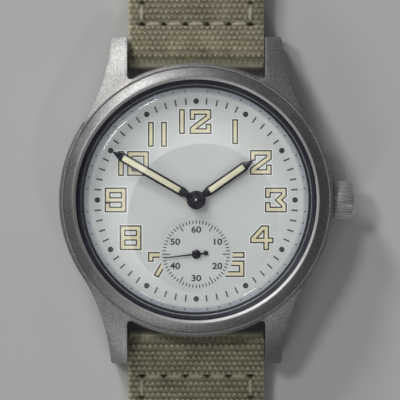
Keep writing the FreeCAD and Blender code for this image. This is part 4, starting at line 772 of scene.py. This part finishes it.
def wovenBand(name, route, width, thickness, outer=1, closed=False, halfWidthAt=None, holes=(), pressed=(),
              toPlace=None, wearAndHighlight=()):
    # a flat cloth grid given its weave, then bent along the route; "pressed" are dents (along, across, radius,
    # depth) with painted shade in them, the pale folds (along, reach) are wear plus a painted highlight, and
    # "outer" says which side of the route faces outwards
    rows = round(route.length / weave["rib"]) * weave["rowsPerRib"]
    columns = 2 * round(width / weave["yarn"])
    shape = bmesh.new()
    bmesh.ops.create_grid(shape, x_segments=columns, y_segments=rows, size=0.5)
    for vert in shape.verts:
        along = (vert.co.y + 0.5) * route.length
        share = vert.co.x * 2
        half = width / 2 if halfWidthAt is None else halfWidthAt(along)
        vert.co = Vector((share * half, along, 0))
    if holes:
        gone = [face for face in shape.faces
                if any((face.calc_center_median().xy - Vector(hole[:2])).length < hole[2] for hole in holes)]
        bmesh.ops.delete(shape, geom=gone, context="FACES")
    countLayer = shape.loops.layers.uv.new("count")
    bmesh.ops.solidify(shape, geom=shape.faces[:], thickness=-thickness)
    for face in shape.faces:
        for loop in face.loops:
            loop[countLayer].uv = (loop.vert.co.x / weave["yarn"], loop.vert.co.y / weave["rib"])
    low = min(vert.co.z for vert in shape.verts)
    weaveShadeAndWearLayer = shape.verts.layers.float.new("weaveShadeAndWear")
    for vert in shape.verts:
        across, along = vert.co.x, vert.co.y
        upper = vert.co.z - low > thickness / 2
        rib, yarn = reliefAt(along, across)
        half = width / 2 if halfWidthAt is None else halfWidthAt(along)
        edge = abs(across) > half - selvedge["width"]
        rise = (weave["ribRise"] * rib + weave["yarnRise"] * yarn
                + random.uniform(-weave["uneven"], weave["uneven"]))
        # painted shade: lighter on the tops of ribs and yarns, darker in their hollows, with random unevenness
        tone = (clothTone["base"] + clothTone["rib"] * rib + clothTone["yarn"] * yarn
                + random.uniform(-clothTone["uneven"], clothTone["uneven"]))
        height = thickness / 2 - weave["sink"] + rise
        if edge:
            fray = random.uniform(-selvedge["fray"], selvedge["fray"])
            across += math.copysign(selvedge["wave"] * rib - selvedge["inset"] + fray, across)
            height -= selvedge["drop"]
            tone += clothTone["selvedge"]
        if upper == (outer > 0):
            # the pale fold is wear and a painted highlight, placed where the fold faces the light
            for wearAndHighlightAlong, reach in wearAndHighlight:
                wear = max(1 - abs(along - wearAndHighlightAlong) / reach, 0)
                tone += clothTone["wearAndHighlight"] * wear * random.uniform(0.8, 1.1)
            for dentAlong, dentAcross, dentRadius, depth in pressed:
                away = math.hypot((along - dentAlong) * dent["stretch"], across - dentAcross) / dentRadius
                if away < dent["reach"]:
                    fall = math.exp(-dent["steepness"] * away * away)
                    height -= depth * fall
                    # painted shade: the cloth is darkened inside the dent
                    tone -= clothTone["dent"] * fall
        spot, up = route.frameAt(along)
        spot = spot + up * (height if upper else -height)
        vert[weaveShadeAndWearLayer] = tone
        vert.co = Vector((across * mm, spot.x * mm, spot.y * mm))
    if closed:
        bmesh.ops.remove_doubles(shape, verts=shape.verts, dist=0.00003)
    if toPlace is not None:
        bmesh.ops.transform(shape, matrix=toPlace, verts=shape.verts)
    bmesh.ops.recalc_face_normals(shape, faces=shape.faces)
    return meshObject(name, shape, materials["canvas"])


stitch = {"plies": 3, "plyDepth": 0.22, "twist": 2.6, "halfWidth": 0.27, "halfHeight": 0.2, "endDrop": 0.12}


def stitchRow(shape, route, outer, along, across, alongStep, acrossStep, count, length):
    # short twisted stitches that lie on the cloth, end to end with gaps between
    lengthwise = abs(alongStep) > abs(acrossStep)
    sideways = Vector((1, 0, 0))
    for number in range(count):
        made = bmesh.ops.create_uvsphere(shape, u_segments=12, v_segments=14, radius=1.0)["verts"]
        spot, up = route.frameAt(along + alongStep * number)
        forward = Vector((0, up.y, -up.x))
        rise = Vector((0, up.x, up.y)) * outer
        main, other = (forward, sideways) if lengthwise else (sideways, forward)
        centre = Vector((across + acrossStep * number, spot.x, spot.y)) + rise * weave["thickness"] / 2
        for vert in made:
            lengthShare = vert.co.z
            turn = math.atan2(vert.co.y, vert.co.x)
            ply = 1 + stitch["plyDepth"] * math.cos(stitch["plies"] * (turn + stitch["twist"] * lengthShare))
            wide = vert.co.x * stitch["halfWidth"] * ply
            tall = vert.co.y * stitch["halfHeight"] * ply - stitch["endDrop"] * lengthShare ** 2
            longPart = lengthShare * length / 2
            vert.co = (centre + main * longPart + other * wide + rise * tall) * mm


def stitchPiece(name, body, rowsOfStitches):
    # several rows of stitches as one piece
    shape = bmesh.new()
    for row in rowsOfStitches:
        stitchRow(shape, *row)
    bmesh.ops.recalc_face_normals(shape, faces=shape.faces)
    finishPiece(meshObject(name, shape, materials["thread"]), body, "canvas")


strap = {"width": 17.9, "loop": 1.5, "bar": 19.3, "barHeight": 2.35, "hem": 33.0, "stitch": 23.25,
         "lineAcross": 7.2, "pitch": 2.85, "stitchLength": 2.0, "across": 5, "lineEnd": 0.6,
         "dentAcross": (0.52, 0.42), "dentAlong": (0.45, 0.26), "wearAndHighlightReach": 0.8}
buckleEnd = {"reach": 89.3, "height": 3.3, "hem": 76.0, "stitch": 8.2, "slotBack": 3.0, "slotStep": 0.5,
             "slotRadius": 1.15, "slotCuts": (-8, 10)}
tail = {"end": 134.0, "corner": 7.0, "holeFirst": 76.0, "holePitch": 6.5, "holes": 7, "holeRadius": 1.2}


def acrossRow(along):
    # the settings of one row of stitches across the strap
    first = -(strap["across"] - 1) / 2 * strap["pitch"]
    return (along, first, 0, strap["pitch"], strap["across"], strap["stitchLength"])


def boxStitches(start, end):
    # a line across, then two lines running off along the strap, with a dent at each needle hole
    rows = [acrossRow(start)]
    count = int(abs(end - start) / strap["pitch"])
    step = math.copysign(strap["pitch"], end - start)
    rows += [(start + step * 0.5, side * strap["lineAcross"], step, 0, count, strap["stitchLength"])
             for side in (-1, 1)]
    dents = [(start, (number - strap["across"] / 2) * strap["pitch"], *strap["dentAcross"])
             for number in range(strap["across"] + 1)]
    dents += [(start + step * number, side * strap["lineAcross"], *strap["dentAlong"])
              for side in (-1, 1) for number in range(count + 1)]
    return rows, dents


# the buckle half: from its hem end, round the spring bar, out to the buckle's bar and back
hemTop = [(strap["hem"], 2.72), (28.5, 2.66), (strap["stitch"], 2.6), (21.9, 2.98)]
barLoop = arcPoints((strap["bar"], strap["barHeight"]), strap["loop"], 52, 270)
foldPoint = 7    # how far round the bar the pale fold lies: wear, with a painted highlight where the fold faces the light
outward = [(22.0, 0.96), (26.0, 1.14), (40.0, 1.8), (60.0, 1.8), (80.0, 1.8)]
buckleLoop = arcPoints((buckleEnd["reach"], buckleEnd["height"]), strap["loop"], -90, 105)
buckleHem = [(86.6, 4.25), (82.5, 3.05), (buckleEnd["hem"], 3.0)]
buckleRoute = Route(hemTop + barLoop + outward + buckleLoop + buckleHem)
stitchAlong = strap["hem"] - strap["stitch"]
boxRows, boxDents = boxStitches(stitchAlong, strap["lineEnd"])
slotAlong = buckleRoute.length - (buckleEnd["reach"] - buckleEnd["hem"]) - buckleEnd["slotBack"]
slot = [(0.0, slotAlong + cut * buckleEnd["slotStep"], buckleEnd["slotRadius"])
        for cut in range(*buckleEnd["slotCuts"])]
foldAlong = Route(hemTop + barLoop[:foldPoint]).length
buckleHalf = wovenBand("canvas_buckle_half", buckleRoute, strap["width"], weave["thickness"],
                       outer=-1, holes=slot, pressed=boxDents, wearAndHighlight=[(foldAlong, strap["wearAndHighlightReach"])])
finishPiece(buckleHalf, "strap_12", "canvas", "strap_buckle_side")
endRow = acrossRow(buckleRoute.length - buckleEnd["stitch"])
stitchPiece("buckle_half_stitches", "strap_12", [(buckleRoute, -1, *row) for row in boxRows + [endRow]])

# the half with the holes: hem end, round the spring bar and out to the rounded tip
hemTop = [(-strap["hem"], 1.85), (-28.5, 1.9), (-strap["stitch"], 2.3), (-21.9, 2.86)]
barLoop = arcPoints((-strap["bar"], strap["barHeight"]), strap["loop"], 128, -90)
outward = [(-23.5, 0.66), (-30.0, 0.65), (-60.0, 0.65), (-100.0, 0.65), (-tail["end"], 0.65)]
tailRoute = Route(hemTop + barLoop + outward)


def tailHalfWidth(along):
    # the strap's tip is rounded off over its last few millimetres
    left = (tailRoute.length - along) / tail["corner"]
    return strap["width"] / 2 * (1 if left >= 1 else max(math.sqrt(max(1 - (1 - left) ** 2, 0)), 0.02))


holeAlong = [tailRoute.length - (tail["end"] - tail["holeFirst"] - number * tail["holePitch"])
             for number in range(tail["holes"])]
foldAlong = Route(hemTop + barLoop[:foldPoint]).length
tailHalf = wovenBand("canvas_hole_half", tailRoute, strap["width"], weave["thickness"],
                     halfWidthAt=tailHalfWidth, holes=[(0.0, along, tail["holeRadius"]) for along in holeAlong],
                     pressed=boxDents, wearAndHighlight=[(foldAlong, strap["wearAndHighlightReach"])])
finishPiece(tailHalf, "strap_6", "canvas", "strap_hole_side")
stitchPiece("hole_half_stitches", "strap_6", [(tailRoute, 1, *row) for row in boxRows])

eyelet = {"inner": 0.95, "outer": 1.75, "lift": 0.05, "steps": 28}
eyeletProfile = [(eyelet["inner"], -0.02), (eyelet["inner"], 1.2), (1.05, 1.3), (1.3, 1.36), (1.6, 1.3),
                 (eyelet["outer"], 1.18), (1.3, 1.16), (1.12, 1.0), (1.12, 0.2), (1.5, 0.0), (1.2, -0.03)]
eyeletShape = bmesh.new()
for number in range(tail["holes"]):
    single = turnedShape(eyeletProfile, eyelet["steps"], closed=True)
    bmesh.ops.translate(single, verts=single.verts,
                        vec=(0, -(tail["holeFirst"] + number * tail["holePitch"]) * mm, eyelet["lift"] * mm))
    mesh = bpy.data.meshes.new("eyelet")
    single.to_mesh(mesh)
    single.free()
    eyeletShape.from_mesh(mesh)
finishPiece(meshObject("strap_eyelets", eyeletShape, materials["steel"]), "strap_6", "polished_steel")
print("strap woven")


# the keepers' cloth and how it clears the box of its solid, in millimetres
keeper = {"wallShare": 0.8, "gap": 0.06, "corner": 0.9, "cornerSteps": 6, "endGap": 0.1}


def keeperBand(name, node, body):
    # a woven loop just inside the box of its solid
    low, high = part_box(node)
    wall = weave["thickness"] * keeper["wallShare"]
    inset = wall / 2 + keeper["gap"]
    left, right = low.x / mm + inset, high.x / mm - inset
    bottom, top = low.z / mm + inset, high.z / mm - inset
    corner = keeper["corner"]
    line = []
    for centre, start in (((right - corner, top - corner), 90), ((right - corner, bottom + corner), 0),
                          ((left + corner, bottom + corner), -90), ((left + corner, top - corner), -180)):
        line += arcPoints(centre, corner, start, start - 90, keeper["cornerSteps"])
    route = Route(line, closed=True)
    # the band is woven along Y and Z, then turned so that it goes round the strap
    turn = Matrix.Translation((0, (low.y + high.y) / 2, 0)) @ Matrix.Rotation(-math.pi / 2, 4, "Z")
    piece = wovenBand(name, route, (high.y - low.y) / mm - keeper["endGap"], wall, closed=True, toPlace=turn)
    finishPiece(piece, body, "canvas", node)


keeperBand("fixed_keeper_band", "fixed_keeper", "strap_12")
keeperBand("sliding_keeper_band", "sliding_keeper", "keeper_loop")
print("keepers woven")


# the stage, in metres
backdrop = {"reach": 3.0, "gap": 0.00005}
floorShape = bmesh.new()
bmesh.ops.create_grid(floorShape, x_segments=1, y_segments=1, size=backdrop["reach"])
floor = meshObject("floor", floorShape, paleFloor("paleFloor"), smooth=False)
floor.location.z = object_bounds()[0].z - backdrop["gap"]

studio = [
    # name, azimuth, elevation, distance, size, power, colour
    ("keyPanel", 142, 57, 0.56, 0.10, 0.58, (1.0, 0.99, 0.97)),
    ("upperPanel", 117, 27, 0.58, 0.11, 1.12, (1.0, 0.99, 0.98)),
    ("lowPanel", 246, 33, 0.55, 0.14, 0.3, (1.0, 0.99, 0.97)),
    ("sparkRight", 58, 42, 0.50, 0.04, 0.03, (0.7, 0.8, 1.0)),
    ("sparkLow", 300, 50, 0.50, 0.05, 0.12, (1.0, 1.0, 1.0)),
]
lampTarget = Vector((0, 0, 0.005))
for name, azimuth, elevation, distance, panelSize, power, colour in studio:
    lamp = bpy.data.lights.new(name, "AREA")
    lamp.shape = "SQUARE"
    lamp.size = panelSize
    lamp.energy = power
    lamp.color = colour
    panel = newObject(name, lamp)
    turn, lift = math.radians(azimuth), math.radians(elevation)
    place = Vector((math.cos(turn) * math.cos(lift), math.sin(turn) * math.cos(lift), math.sin(lift))) * distance
    panel.location = place
    panel.rotation_euler = (lampTarget - place).to_track_quat("-Z", "Y").to_euler()
    panel.visible_camera = False

# a diffuser round the lens, which the domed crystal mirrors as a soft bright ring
ring = {"inner": 0.178, "outer": 0.25, "height": 0.62, "x": 0.016, "y": -0.046, "strength": 1.7,
        "steps": 96, "dimmest": 0.25, "slant": 0.2, "colour": (0.95, 0.98, 1.0)}
ringShape = bmesh.new()
corners = [ringShape.verts.new((ring[end], 0, 0)) for end in ("inner", "outer")]
edge = ringShape.edges.new(corners)
bmesh.ops.spin(ringShape, geom=corners + [edge], cent=(0, 0, 0), axis=(0, 0, 1), angle=fullTurn,
               steps=ring["steps"], use_merge=True)
bmesh.ops.remove_doubles(ringShape, verts=ringShape.verts, dist=0.00001)
glow = Finish("diffuserGlow", Emission_Strength=ring["strength"], Base_Color=(0, 0, 0, 1))
sides = glow.add("ShaderNodeSeparateXYZ", {0: glow.place()}).outputs
reach = glow.add("ShaderNodeVectorMath", {0: glow.place()}, operation="LENGTH").outputs["Value"]
fade = glow.spread(reach, 1.0, 0.0, ring["inner"], ring["outer"])
upperLeft = glow.spread(glow.maths("SUBTRACT", sides[1], sides[0]), ring["dimmest"], 1.0, -ring["slant"],
                        ring["slant"])
glow.link(glow.colours(glow.maths("MULTIPLY", fade, upperLeft), (0, (0, 0, 0)), (1, ring["colour"])),
          "Emission Color")
diffuser = meshObject("diffuser", ringShape, glow.material, smooth=False)
diffuser.location = (ring["x"], ring["y"], ring["height"])
diffuser.visible_camera = False

air = {"Color": (0.9, 0.95, 1.0, 1), "Strength": 0.06}
world = bpy.data.worlds.new("studioAir")
world.use_nodes = True
for socket, value in air.items():
    world.node_tree.nodes["Background"].inputs[socket].default_value = value
bpy.context.scene.world = world
bpy.context.scene.view_settings.view_transform = "Standard"

view = {"distance": 0.6, "width": 0.0526, "dialHeight": 0.008, "x": 0.0005, "y": 0.0, "sensor": 36,
        "near": 0.01}
lens = bpy.data.cameras.new("camera")
lens.sensor_width = view["sensor"]
lens.lens = view["sensor"] * (view["distance"] - view["dialHeight"]) / view["width"]
lens.clip_start = view["near"]
camera = newObject("camera", lens)
camera.location = (view["x"], view["y"], view["distance"])
bpy.context.scene.camera = camera
print("studio set")
